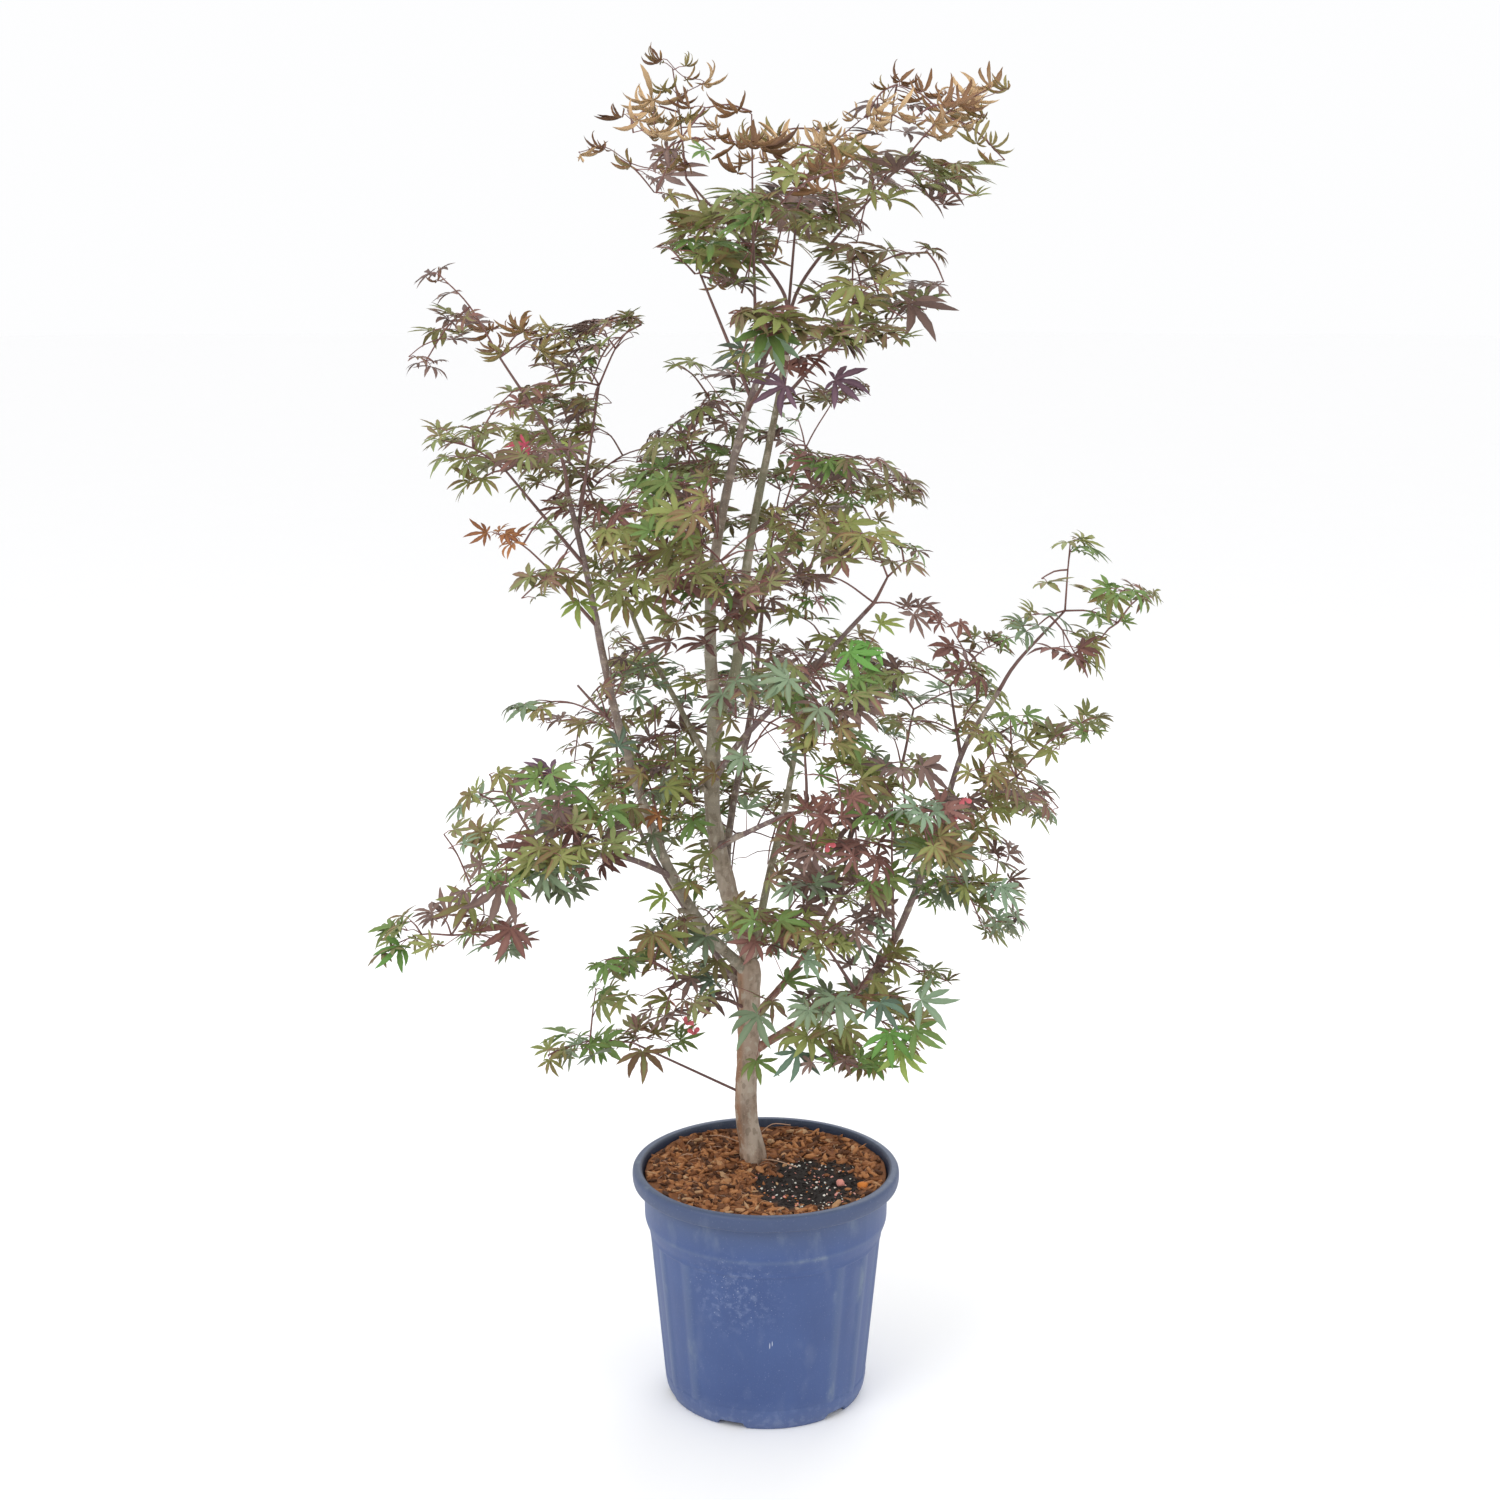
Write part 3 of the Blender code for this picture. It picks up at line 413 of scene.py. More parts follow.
radius, height = profile.T
outer = np.arange(len(profile)) < np.argmax(height) + 2
in_panel = (height > PANEL_FOOT + PANEL_EDGE) & (height < PANEL_TOP - PANEL_EDGE)
panel = outer & in_panel & (radius > BODY_FOOT_RADIUS)
on_foot = outer & (height < NOTCH_HEIGHT + 0.001) & (radius > FOOT_RADIUS - FOOT_RING)
sag = SAG * np.sin(np.radians(2 * around + 40))
panel_depth = PANEL_DEPTH * panel[:, None] * (1 - rib)
turned_radius = radius[:, None] - panel_depth + (outer & (height > SAG_FOOT))[:, None] * sag
turned_height = np.maximum(height[:, None], NOTCH_HEIGHT * on_foot[:, None] * notch)
turn = np.radians(around)
pot_points = np.stack(
    [turned_radius * np.sin(turn), -turned_radius * np.cos(turn), turned_height + 0 * turn], axis=-1
)
on_rim = hump(np.maximum(RIM_FOOT + 0.001 - height, 0), 0.002) * outer
# Paler edges on the ribs, the collar and the rim: partly wear and partly painted highlight.
worn_and_highlit = np.maximum(rib * panel[:, None], hump(height - COLLAR_FOOT, 0.0022)[:, None] * outer[:, None])
rim_edges = (hump(height - POT_HEIGHT, 0.0012) + hump(height - RIM_FOOT, 0.0010)) * outer
worn_and_highlit = np.maximum(worn_and_highlit, rim_edges[:, None])
pot = Heap()
pot.add(
    pot_points.reshape(-1, 3), grid_faces(len(profile), POT_TURNS),
    rim=np.repeat(on_rim, POT_TURNS), worn_and_highlit=worn_and_highlit.ravel(), inner=np.repeat(~outer, POT_TURNS),
)
print("ribs at", RIBS, "degrees in each sector of", SECTOR)

# %% [markdown]
# ## The pot's plastic
# The plastic is a dull denim blue, not painted but coloured all through. What makes it read as used plastic
# is slight: cloudy patches, a greyer rim, paler edges on the ribs, the collar and the rim that are partly
# wear and partly painted highlight, pale dust on the front and round the foot, and fine flow lines in the
# moulding. Each is a mask, and each mask mixes in a colour or changes the roughness.

# %% Pot material
DUST_SPOT = (-0.034, -0.115, 0.154)
# Two scratches: how far to the right and how high they are, and their half width and half length.
LEFT_SCRATCH = (0.0035, 0.0985, 0.0006, 0.0042)
RIGHT_SCRATCH = (0.0060, 0.1010, 0.0005, 0.0036)

plastic = Paint("pot_plastic")
clouds = plastic.noise(16, 5)
flow = plastic.noise(60, 3, (1, 1, 0.16))
specks = plastic.band(plastic.noise(680, 2), 0.65, 0.74)
smears = plastic.band(plastic.noise(38, 6, (1, 1, 0.5)), 0.56, 0.72)
spot = plastic.place()
from_dust = plastic.node("ShaderNodeVectorMath", {"operation": "DISTANCE"}, {0: spot, 1: DUST_SPOT}, "Value")
dusty = 1 - plastic.band(from_dust, 0.006, 0.064)
mottle = plastic.band(plastic.noise(130, 5), 0.50, 0.66)
level = plastic.node("ShaderNodeSeparateXYZ", None, {"Vector": spot}, "Z")
low = 1 - plastic.band(level, 0.006, 0.034)


def scratch(across, up, width, length):
    """A short upright mark on the pot, as seen from the front."""
    ends = {0: plastic.place((1 / width, 0, 1 / length)), 1: (across / width, 0, up / length)}
    share = plastic.node("ShaderNodeVectorMath", {"operation": "DISTANCE"}, ends, "Value")
    return 1 - plastic.band(share, 0.6, 1.0)


scratches = scratch(*LEFT_SCRATCH) + scratch(*RIGHT_SCRATCH)
wear_and_highlight = plastic.stored("worn_and_highlit")
rim_mark = plastic.stored("rim")
blue = plastic.mix(clouds, rgb(48, 70, 120), rgb(68, 92, 143))
blue = plastic.mix(flow * 0.35, blue, rgb(48, 66, 112))
blue = plastic.mix(rim_mark * 0.75, blue, rgb(60, 73, 102))
# Paler rib, collar and rim edges, partly wear and partly painted highlight.
blue = plastic.mix(wear_and_highlight * (0.14 + smears * 0.40), blue, rgb(124, 138, 146))
# Painted shade: the inside of the pot is painted dark grey blue.
blue = plastic.mix(plastic.stored("inner") * 0.85, blue, rgb(44, 54, 70))
blue = plastic.mix(smears * 0.10, blue, rgb(150, 160, 176))
blue = plastic.mix(dusty * mottle * 0.18 + low * (mottle * 0.10 + 0.08), blue, rgb(170, 182, 205))
dust = specks * (dusty * 0.45 + 0.14) + scratches * 0.7
blue = plastic.mix(dust, blue, rgb(196, 203, 214))
rough = 0.42 + clouds * 0.14 + smears * 0.10 + dust * 0.2
grain = plastic.bump(plastic.noise(900, 2) * 0.3 + flow, 0.0004)
pot.make("pot_shell", "pot_plastic", [plastic.finish(blue, rough, grain)], ["pot"])

# %% [markdown]
# ## The potting mix
# The mix is mostly chipped bark and coconut fibre, orange brown, with a patch of black compost where it was
# topped up, and white and pink grains. A bumpy surface alone looks like mud, so the surface is only the bed.
# Thousands of chips and crumbs lie on it, each its own little slab with a ragged outline, half sunk and
# tilted.

# %% Bed of the mix
SEED = 7
BED_RADIUS = 0.1262
SKIRT_SHARE = 0.982
BED_RINGS = 54
BED_TURNS = 150
BED_SINK = 0.0008
# How uneven the bed is: waves to a metre, which layer of the noise is taken, and how high it stands.
BED_WAVES = ((38, 1.7, 0.0026), (120, 4.1, 0.0012))
WALL_RISE = 0.0085
TRUNK_RISE_REACH = 0.030
COMPOST = (0.043, -0.029)
COMPOST_REACH = (0.056, 0.076)
COMPOST_EDGE, COMPOST_RAGGEDNESS, COMPOST_SHARPNESS = 1.12, 0.35, 4

rng = np.random.default_rng(SEED)


def bed_height(x, y):
    """The mix's surface: hollows and humps, a slight rise round the trunk, and a bank against the wall."""
    near = hump(np.hypot(x - TRUNK_FOOT[0], y - TRUNK_FOOT[1]), TRUNK_RISE_REACH)
    rough_ground = sum(noise.noise((x * waves, y * waves, layer)) * high for waves, layer, high in BED_WAVES)
    bank = WALL_RISE * min(1, math.hypot(x, y) / BED_RADIUS) ** 2 * (1 - near)
    return MIX_TOP - BED_SINK + bank + MIX_MOUND * near + rough_ground * (1 - 0.7 * near)


def compost_share(x, y):
    """1 on the patch of compost and 0 away from it, with a ragged edge."""
    away = np.hypot((x - COMPOST[0]) / COMPOST_REACH[0], (y - COMPOST[1]) / COMPOST_REACH[1])
    ragged = COMPOST_RAGGEDNESS * noise.noise((x * 60, y * 60, 9.3))
    return float(np.clip((COMPOST_EDGE - away + ragged) * COMPOST_SHARPNESS, 0, 1))


bed_points, bed_dark = [], []
for ring in range(BED_RINGS):
    for step in range(BED_TURNS):
        reach = BED_RADIUS * (1 - ring / (BED_RINGS - 1))
        angle = 2 * math.pi * step / BED_TURNS
        x, y = reach * math.sin(angle), -reach * math.cos(angle)
        bed_points.append((x, y, bed_height(x, y)))
        bed_dark.append(compost_share(x, y))
skirt = [(SKIRT_SHARE * x, SKIRT_SHARE * y, MIX_TOP - 0.012) for x, y, _ in bed_points[:BED_TURNS]]
mix = Heap()
mix.add(
    np.array(skirt + bed_points), grid_faces(BED_RINGS + 1, BED_TURNS),
    dark=np.array(bed_dark[:BED_TURNS] + bed_dark), tone=0.35, pale=0.0,
)
print("the bed stands", round(max(p[2] for p in bed_points), 4), "m high")

# %% Chips, crumbs and grains
SLAB_SIDES = 7
SLAB_THICKNESS = (0.10, 0.24)
ANY_TURN = (0, 6.3)
EDGE_GAP = 0.004
TRUNK_CLEARANCE = 0.0145
# How many slabs of each sort are tried, their lengths in metres, how wide they are beside their length, how
# much they tilt, how high they lie beside their thickness, the range of their tones, whether they are black
# or pale, and the shares of compost that they lie between.
Litter = namedtuple("Litter", "count lengths slimness tilt lift tones dark pale shares")
ON_CHIPS = (-1, 0.5)
LITTER = {
    "chips": Litter(1850, (0.006, 0.0175), (0.25, 0.60), 0.34, 0.45, (0, 1), 0, 0, ON_CHIPS),
    "black crumbs": Litter(2700, (0.002, 0.0055), (0.6, 1.0), 0.4, 0.2, (0, 0.7), 1, 0, (0.4, 2)),
    "chips on the compost": Litter(90, (0.006, 0.0120), (0.3, 0.6), 0.3, 0.3, (0.3, 1), 0, 0, (0.4, 2)),
    "grains on the compost": Litter(560, (0.0016, 0.0040), (0.7, 1.0), 0.4, 0.9, (0, 1), 0, 1, (0.5, 2)),
    "grains on the chips": Litter(40, (0.0018, 0.0036), (0.7, 1.0), 0.4, 0.4, (0, 1), 0, 1, ON_CHIPS),
}
# Two small stones: where they lie, how long they are, and their tone.
STONES = ((0.077, -0.030, 0.011, 0.05), (0.100, -0.041, 0.013, 0.95))


def slab(place, length, width, thick, heading, tilt, rng):
    """A ragged slab: a top outline, a larger one at the middle, and two caps."""
    turns = np.linspace(0, 2 * np.pi, SLAB_SIDES, endpoint=False) + rng.uniform(-0.3, 0.3, SLAB_SIDES)
    ragged = rng.uniform(0.72, 1.12, SLAB_SIDES)
    flat = np.stack([np.cos(turns) * ragged * length / 2, np.sin(turns) * ragged * width / 2], axis=1)
    layers = []
    for share, level in ((0.0, -0.5), (0.80, -0.45), (1.0, rng.uniform(-0.1, 0.3)), (0.72, 0.5), (0.0, 0.52)):
        bulge = level * thick + rng.normal(0, 0.06 * thick, SLAB_SIDES) * (share > 0)
        layers.append(np.column_stack([flat * share, bulge]))
    points = np.concatenate(layers)
    pitch, roll = tilt
    turn = Euler((roll, pitch, heading)).to_matrix()
    return points @ np.array(turn).T + place


def scatter(litter):
    """Lays slabs over the bed, but not against the trunk, and says how many lie there."""
    laid = 0
    for _ in range(litter.count):
        reach = (BED_RADIUS - EDGE_GAP) * math.sqrt(rng.uniform())
        angle = rng.uniform(0, 2 * math.pi)
        x, y = reach * math.cos(angle), reach * math.sin(angle)
        wanted = litter.shares[0] < compost_share(x, y) < litter.shares[1]
        if not wanted or math.hypot(x - TRUNK_FOOT[0], y - TRUNK_FOOT[1]) < TRUNK_CLEARANCE:
            continue
        length = min(rng.uniform(*litter.lengths), 2 * (BED_RADIUS - reach) + EDGE_GAP)
        thick = length * rng.uniform(*SLAB_THICKNESS)
        place = (x, y, bed_height(x, y) + litter.lift * thick)
        width = length * rng.uniform(*litter.slimness)
        heading, tilt = rng.uniform(*ANY_TURN), rng.normal(0, litter.tilt, 2)
        points = slab(place, length, width, thick, heading, tilt, rng)
        tone = rng.uniform(*litter.tones)
        mix.add(points, grid_faces(5, SLAB_SIDES), dark=litter.dark, tone=tone, pale=litter.pale)
        laid += 1
    return laid


for name, litter in LITTER.items():
    print(scatter(litter), name)

for x, y, length, tone in STONES:
    stone = slab((x, y, bed_height(x, y) + 0.002), length, 0.8 * length, 0.5 * length, 0.4, (0.1, 0.2), rng)
    mix.add(stone, grid_faces(5, SLAB_SIDES), dark=0.0, tone=tone, pale=1.0)
print("the mix is", mix.count, "points so far")

# %% Fibres and straws on the mix
def curve_through(route, step):
    """Points about a step apart on a smooth curve through the route's points."""
    knots = [np.array(p, float) for p in route]
    ends = [2 * knots[0] - knots[1], *knots, 2 * knots[-1] - knots[-2]]
    points = []
    for a, b, c, d in zip(ends, ends[1:], ends[2:], ends[3:]):
        count = max(1, round(np.linalg.norm(c - b) / step))
        for i in range(count):
            t = i / count
            bend = (2 * a - 5 * b + 4 * c - d) * t**2 + (3 * b - a - 3 * c + d) * t**3
            points.append(0.5 * (2 * b + (c - a) * t + bend))
    return np.array([*points, knots[-1]])


def unit(vector):
    return vector / np.linalg.norm(vector)


def tube(path, radii, sides, swell=None):
    """A tube with closed ends along the path. swell gives each ring and side a share of its radius."""
    along = np.gradient(path, axis=0)
    across = np.cross(along[0], (0.31, 0.87, 0.38))
    turns = np.linspace(0, 2 * np.pi, sides, endpoint=False)
    rings = [np.repeat(path[:1], sides, axis=0)]
    for index, (centre, heading, radius) in enumerate(zip(path, along, radii)):
        heading = unit(heading)
        across = unit(across - heading * (across @ heading))
        third = np.cross(heading, across)
        size = radius * (np.ones(sides) if swell is None else swell[index])
        spokes = np.cos(turns)[:, None] * across + np.sin(turns)[:, None] * third
        rings.append(centre + size[:, None] * spokes)
    rings.append(np.repeat(path[-1:], sides, axis=0))
    return np.concatenate(rings), grid_faces(len(rings), sides)


STRAW_RADIUS = 0.0006
STRAWS = (
    ((-0.003, 0.036, 0.239), (0.012, 0.028, 0.2405), (0.033, 0.016, 0.238)),
    ((-0.006, 0.106, 0.240), (0.008, 0.112, 0.249), (0.028, 0.117, 0.246)),
    ((-0.066, 0.100, 0.240), (-0.048, 0.094, 0.2425), (-0.027, 0.084, 0.239)),
    ((-0.092, 0.044, 0.239), (-0.084, 0.041, 0.243), (-0.078, 0.045, 0.240)),
)
for route in STRAWS:
    line = curve_through(route, 0.004)
    points, faces = tube(line, np.full(len(line), STRAW_RADIUS), 6)
    mix.add(points, faces, dark=0.0, tone=0.85, pale=0.25)

FIBRES = 260
FIBRE_REACH, FIBRE_LIMIT = 0.112, 0.119
HALF_FIBRE = (0.004, 0.010)
FIBRE_BOW = 0.6
FIBRE_HUMP, FIBRE_ENDS = (0.0015, 0.0045), 0.0004
FIBRE_RADIUS = (0.0002, 0.0005)
laid = 0
for _ in range(FIBRES):
    reach = FIBRE_REACH * math.sqrt(rng.uniform())
    angle = rng.uniform(*ANY_TURN)
    start = np.array([reach * math.cos(angle), reach * math.sin(angle), 0])
    if compost_share(*start[:2]) > 0.3:
        continue
    heading = rng.uniform(*ANY_TURN)
    step = rng.uniform(*HALF_FIBRE) * np.array([math.cos(heading), math.sin(heading), 0])
    bow = rng.uniform(-FIBRE_BOW, FIBRE_BOW) * np.array([-step[1], step[0], 0])
    spots = [start - step, start + bow, start + step]
    spots = [p * min(1, FIBRE_LIMIT / max(np.linalg.norm(p), 1e-6)) for p in spots]
    lifts = (FIBRE_ENDS, rng.uniform(*FIBRE_HUMP), FIBRE_ENDS)
    route = [(p[0], p[1], bed_height(p[0], p[1]) + lift) for p, lift in zip(spots, lifts)]
    line = curve_through(route, 0.004)
    points, faces = tube(line, np.full(len(line), rng.uniform(*FIBRE_RADIUS)), 4)
    mix.add(points, faces, dark=0.0, tone=rng.uniform(0.3, 1), pale=rng.uniform(0, 0.3))
    laid += 1
print(laid, "fibres and", len(STRAWS), "straws")

# %% Mix material
soil = Paint("potting_mix")
tone = soil.stored("tone")
woody = soil.noise(260, 4, (1, 1, 2.2))
brown = soil.mix(soil.band(tone, 0.0, 0.50), rgb(66, 44, 32), rgb(150, 98, 62))
brown = soil.mix(soil.band(tone, 0.50, 0.85), brown, rgb(196, 136, 88))
brown = soil.mix(soil.band(tone, 0.88, 1.0), brown, rgb(206, 168, 128))
brown = soil.mix(woody * 0.4, brown, rgb(100, 60, 36))
black = soil.mix(woody, rgb(18, 16, 16), rgb(52, 44, 40))
earth = soil.mix(soil.stored("dark"), brown, black)
grain_colour = soil.mix(soil.band(tone, 0.30, 0.42), rgb(222, 150, 138), rgb(228, 226, 216))
grain_colour = soil.mix(soil.band(tone, 0.86, 0.92), grain_colour, rgb(214, 130, 60))
earth = soil.mix(soil.stored("pale"), earth, grain_colour)
crumbly = soil.bump(soil.noise(700, 4), 0.0008)
mix_finish = soil.finish(earth, 0.85 + woody * 0.1, crumbly, 0.3)
mix.make("potting_mix_chips", "potting_mix", [mix_finish], ["potting_mix"])

# %% [markdown]
# ## Trunk and boughs
# Each limb is a route of a few points with a radius at its foot and its tip. A curve with a bevel would give
# a plain hose. Bark needs relief of its own: long low ridges, pale rings where old leaves and buds stood, a
# swelling where a bough leaves, and a flare where the trunk meets the mix. So every ring of the tube gets its
# own radius all the way round, from noise that is stretched along the limb.

# %% Routes of the limbs
# joint says where a limb starts: in the ground, at its parent's tip or in its parent's side.
Limb = namedtuple("Limb", "route foot_radius tip_radius joint parent")
LIMBS = {
    "trunk": Limb(
        (TRUNK_FOOT, (-0.021, 0.044, 0.297), (-0.018, 0.041, 0.364), (-0.017, 0.036, 0.464)),
        0.0120, 0.0102, "ground", None,
    ),
    "main_stem": Limb(
        ((-0.036, 0.033, 0.524), (-0.055, 0.026, 0.624), (-0.051, 0.018, 0.734)),
        0.0096, 0.0068, "tip", "trunk",
    ),
    "left_leader": Limb(
        ((-0.056, 0.012, 0.784), (-0.053, 0.004, 0.874), (-0.030, -0.006, 0.994), (-0.002, -0.015, 1.084)),
        0.0066, 0.0028, "tip", "main_stem",
    ),
    "right_leader": Limb(
        ((-0.054, 0.021, 0.712), (-0.031, 0.032, 0.769), (-0.018, 0.050, 0.884), (0.003, 0.060, 0.994),
         (0.021, 0.060, 1.084)),
        0.0060, 0.0028, "side", "main_stem",
    ),
    "left_bough": Limb(
        ((-0.016, 0.037, 0.444), (-0.062, 0.014, 0.499), (-0.106, -0.014, 0.589), (-0.148, -0.031, 0.729),
         (-0.175, -0.040, 0.874), (-0.192, -0.045, 0.954)),
        0.0062, 0.0024, "side", "trunk",
    ),
    "right_bough": Limb(
        ((-0.019, 0.043, 0.354), (0.040, 0.029, 0.397), (0.112, 0.010, 0.454), (0.166, -0.006, 0.584),
         (0.196, -0.020, 0.694), (0.232, -0.022, 0.759)),
        0.0046, 0.0023, "side", "trunk",
    ),
    "centre_bough": Limb(
        ((-0.017, 0.038, 0.442), (0.001, 0.055, 0.534), (0.024, 0.076, 0.634), (0.040, 0.090, 0.744)),
        0.0046, 0.0022, "side", "trunk",
    ),
    "crossing_bough": Limb(
        ((-0.056, 0.023, 0.652), (-0.022, -0.002, 0.706), (0.040, -0.050, 0.779), (0.096, -0.080, 0.846)),
        0.0034, 0.0020, "side", "main_stem",
    ),
    "left_inner_bough": Limb(
        ((-0.056, 0.024, 0.668), (-0.090, 0.048, 0.729), (-0.130, 0.085, 0.796), (-0.152, 0.110, 0.854)),
        0.0030, 0.0020, "side", "main_stem",
    ),
    "low_left_bough": Limb(
        ((-0.094, -0.006, 0.562), (-0.150, -0.055, 0.596), (-0.215, -0.072, 0.596), (-0.262, -0.066, 0.574)),
        0.0032, 0.0020, "side", "left_bough",
    ),
    "front_bough": Limb(
        ((-0.050, 0.029, 0.584), (-0.022, -0.028, 0.612), (0.020, -0.075, 0.644)),
        0.0034, 0.0020, "side", "main_stem",
    ),
    "back_bough": Limb(
        ((-0.042, 0.031, 0.550), (-0.036, 0.085, 0.604), (-0.014, 0.140, 0.714), (-0.004, 0.160, 0.804)),
        0.0042, 0.0022, "side", "main_stem",
    ),
    "back_right_bough": Limb(
        ((-0.018, 0.040, 0.389), (0.040, 0.095, 0.444), (0.100, 0.135, 0.544), (0.135, 0.155, 0.614)),
        0.0040, 0.0020, "side", "trunk",
    ),
    "back_left_bough": Limb(
        ((-0.017, 0.038, 0.416), (-0.070, 0.095, 0.474), (-0.120, 0.135, 0.544), (-0.142, 0.150, 0.584)),
        0.0036, 0.0020, "side", "trunk",
    ),
}


def run_along(path):
    """How far along the path each of its points is."""
    return np.concatenate([[0], np.cumsum(np.linalg.norm(np.diff(path, axis=0), axis=1))])


def spot_at(path, run, place):
    """The point that is place metres along the path."""
    return np.array([np.interp(place, run, axis) for axis in path.T])


def limb_shape(name, step):
    """The limb's centre line, its radius at each of the line's points, and how far along each point is."""
    limb = LIMBS[name]
    route = limb.route
    if limb.joint == "tip":
        before = LIMBS[limb.parent].route
        route = (before[-1], *limb.route)
    path = curve_through(route, step)
    run = run_along(path)
    return path, limb.foot_radius + (limb.tip_radius - limb.foot_radius) * run / run[-1], run


print(len(LIMBS), "limbs,", round(sum(limb_shape(name, 0.02)[2][-1] for name in LIMBS), 2), "m in all")

# %% Bark relief
RING_STEP = 0.0032
LIMB_SIDES = 22
NODE_GAP = 0.046
# Ridges and grain of the bark: how high beside the radius, and how busy the noise is round, up and across.
RIDGE, RIDGE_WAVES = 0.085, (2.1, 42, 20)
GRAIN, GRAIN_WAVES = 0.035, (5.0, 190, 60)
SCAR_SWELL, SCAR_LENGTH = 0.10, 0.0016
# Limbs thinner than this bear their scars closer together. Thick ones have almost lost theirs.
YOUNG_RADIUS, YOUNG_GAP = 0.007, 0.65
SCARLESS_RADIUS = 0.0128
BRANCH_SWELL, BRANCH_LENGTH = 0.20, 0.013
SIDE_FOOT_SWELL, SIDE_FOOT_LENGTH = 0.55, 0.011
ROOT_SWELL, ROOT_REACH = 0.16, 0.020
FOOT_SINK = 0.004


def ripple(turn, spot, waves):
    """Noise at one place of a limb's skin."""
    run = spot[2] * waves[1] + spot[0] * waves[2]
    return noise.noise((math.cos(turn) * waves[0], math.sin(turn) * waves[0], run))


def bark_swell(name, path, radii, run, rng):
    """Each ring's share of its radius all the way round, and how much of a leaf scar it is."""
    turns = np.linspace(0, 2 * np.pi, LIMB_SIDES, endpoint=False)
    scars = np.zeros(len(path))
    place = rng.uniform(0.4, 1.0) * NODE_GAP
    while place < run[-1]:
        scars = np.maximum(scars, hump(run - place, SCAR_LENGTH))
        place += NODE_GAP * rng.uniform(0.6, 1.3) * (YOUNG_GAP if radii[0] < YOUNG_RADIUS else 1)
    scars *= np.clip((SCARLESS_RADIUS - radii) / 0.006, 0.05, 1)
    shares = 1 + SCAR_SWELL * scars
    for other in LIMBS.values():
        if other.joint == "side" and other.parent == name:
            away = np.linalg.norm(path - np.array(other.route[0]), axis=1)
            shares = shares + BRANCH_SWELL * other.foot_radius / radii * hump(away, BRANCH_LENGTH)
    if LIMBS[name].joint == "side":
        shares = shares + SIDE_FOOT_SWELL * hump(run, SIDE_FOOT_LENGTH)
    swell = np.repeat(shares[:, None], LIMB_SIDES, axis=1)
    for ring, spot in enumerate(path):
        for side, turn in enumerate(turns):
            ridge, grain = ripple(turn, spot, RIDGE_WAVES), ripple(turn, spot, GRAIN_WAVES)
            swell[ring, side] += RIDGE * ridge + GRAIN * grain
            if name == "trunk":
                three_roots = ROOT_SWELL + ROOT_SWELL * math.cos(3 * turn + 0.8)
                swell[ring, side] += hump(run[ring], ROOT_REACH) * three_roots
    return swell, scars


GREEN_LIMBS = ("right_leader", "centre_bough", "left_inner_bough")
RED_LIMBS = ("right_bough", "back_right_bough")
RED_LENGTH = 0.16
wood = Heap()
for index, name in enumerate(LIMBS):
    limb_rng = np.random.default_rng([SEED, index])
    path, radii, run = limb_shape(name, RING_STEP)
    if LIMBS[name].joint == "ground":
        path[0, 2] -= FOOT_SINK
    swell, scars = bark_swell(name, path, radii, run, limb_rng)
    dome = np.clip((run[-1] - run) / radii[-1], 0, 1)
    swell = swell * np.sqrt(1 - (1 - dome) ** 2 + 0.02)[:, None]
    points, faces = tube(path, radii, LIMB_SIDES, swell)
    spread = np.repeat([0, *range(len(path)), len(path) - 1], LIMB_SIDES)
    thin = (1 - np.clip((radii - 0.002) / 0.009, 0, 1))[spread]
    green = float(name in GREEN_LIMBS)
    red = float(name in RED_LIMBS) * hump(run, RED_LENGTH)[spread]
    middle = np.repeat(path[[0, *range(len(path)), -1]], LIMB_SIDES, axis=0)
    west = np.clip((middle - points)[:, 0] / radii[0], 0, 1) * (name == "trunk")
    wood.add(points, faces, scar=scars[spread], thin=thin, green=green, red=red, west=west)
print("the limbs have", wood.count, "points")

# %% Stubs of pruned shoots
STUBS = (((-0.076, 0.004, 0.522), (-0.090, 0.000, 0.524)), ((-0.056, 0.024, 0.640), (-0.066, 0.014, 0.650)))
STUB_RADII = (0.0036, 0.0026)
for foot, end in STUBS:
    line = curve_through((foot, end), 0.003)
    points, faces = tube(line, np.linspace(*STUB_RADII, len(line)), 12)
    wood.add(points, faces, scar=0.6, thin=0.5, green=0.0, red=0.0, west=0.0)
print(len(STUBS), "stubs")

# %% [markdown]
# ## Bark
# Young maple bark is smooth and thin: tan and a little pink on the trunk, greyer higher up, with green
# showing through on some limbs and red on others. It is streaked along its length and freckled with
# breathing pores, and each leaf scar leaves a pale ring. The numbers kept on the limbs' points say how thin
# the wood is, where the scars are, and how green, red or weathered brown it is.

# %% Bark material
bark = Paint("bark")
thin = bark.stored("thin")
streak = bark.noise(90, 5, (1, 1, 0.13))
patch = bark.noise(26, 4, (1, 1, 0.5))
pores = bark.band(bark.noise(420, 2, (1, 1, 1.9)), 0.63, 0.70)
fleck = bark.noise(150, 3, (1, 1, 0.6))
skin = bark.mix(patch, rgb(186, 168, 150), rgb(150, 128, 112))
side = bark.band(bark.stored("west") + (patch - 0.5) * 0.9, 0.30, 0.75)
skin = bark.mix(side * 0.70, skin, rgb(150, 104, 70))
skin = bark.mix(bark.band(thin, 0.12, 0.45), skin, rgb(142, 136, 120))
skin = bark.mix(bark.band(thin, 0.55, 0.95), skin, rgb(118, 98, 98))
skin = bark.mix(bark.stored("green") * 0.55, skin, rgb(138, 142, 108))
skin = bark.mix(bark.stored("red") * 0.70, skin, rgb(158, 98, 82))
skin = bark.mix(bark.band(streak, 0.46, 0.66) * 0.50, skin, rgb(102, 78, 62))
skin = bark.mix(bark.band(patch, 0.55, 0.66) * 0.65, skin, rgb(200, 186, 170))
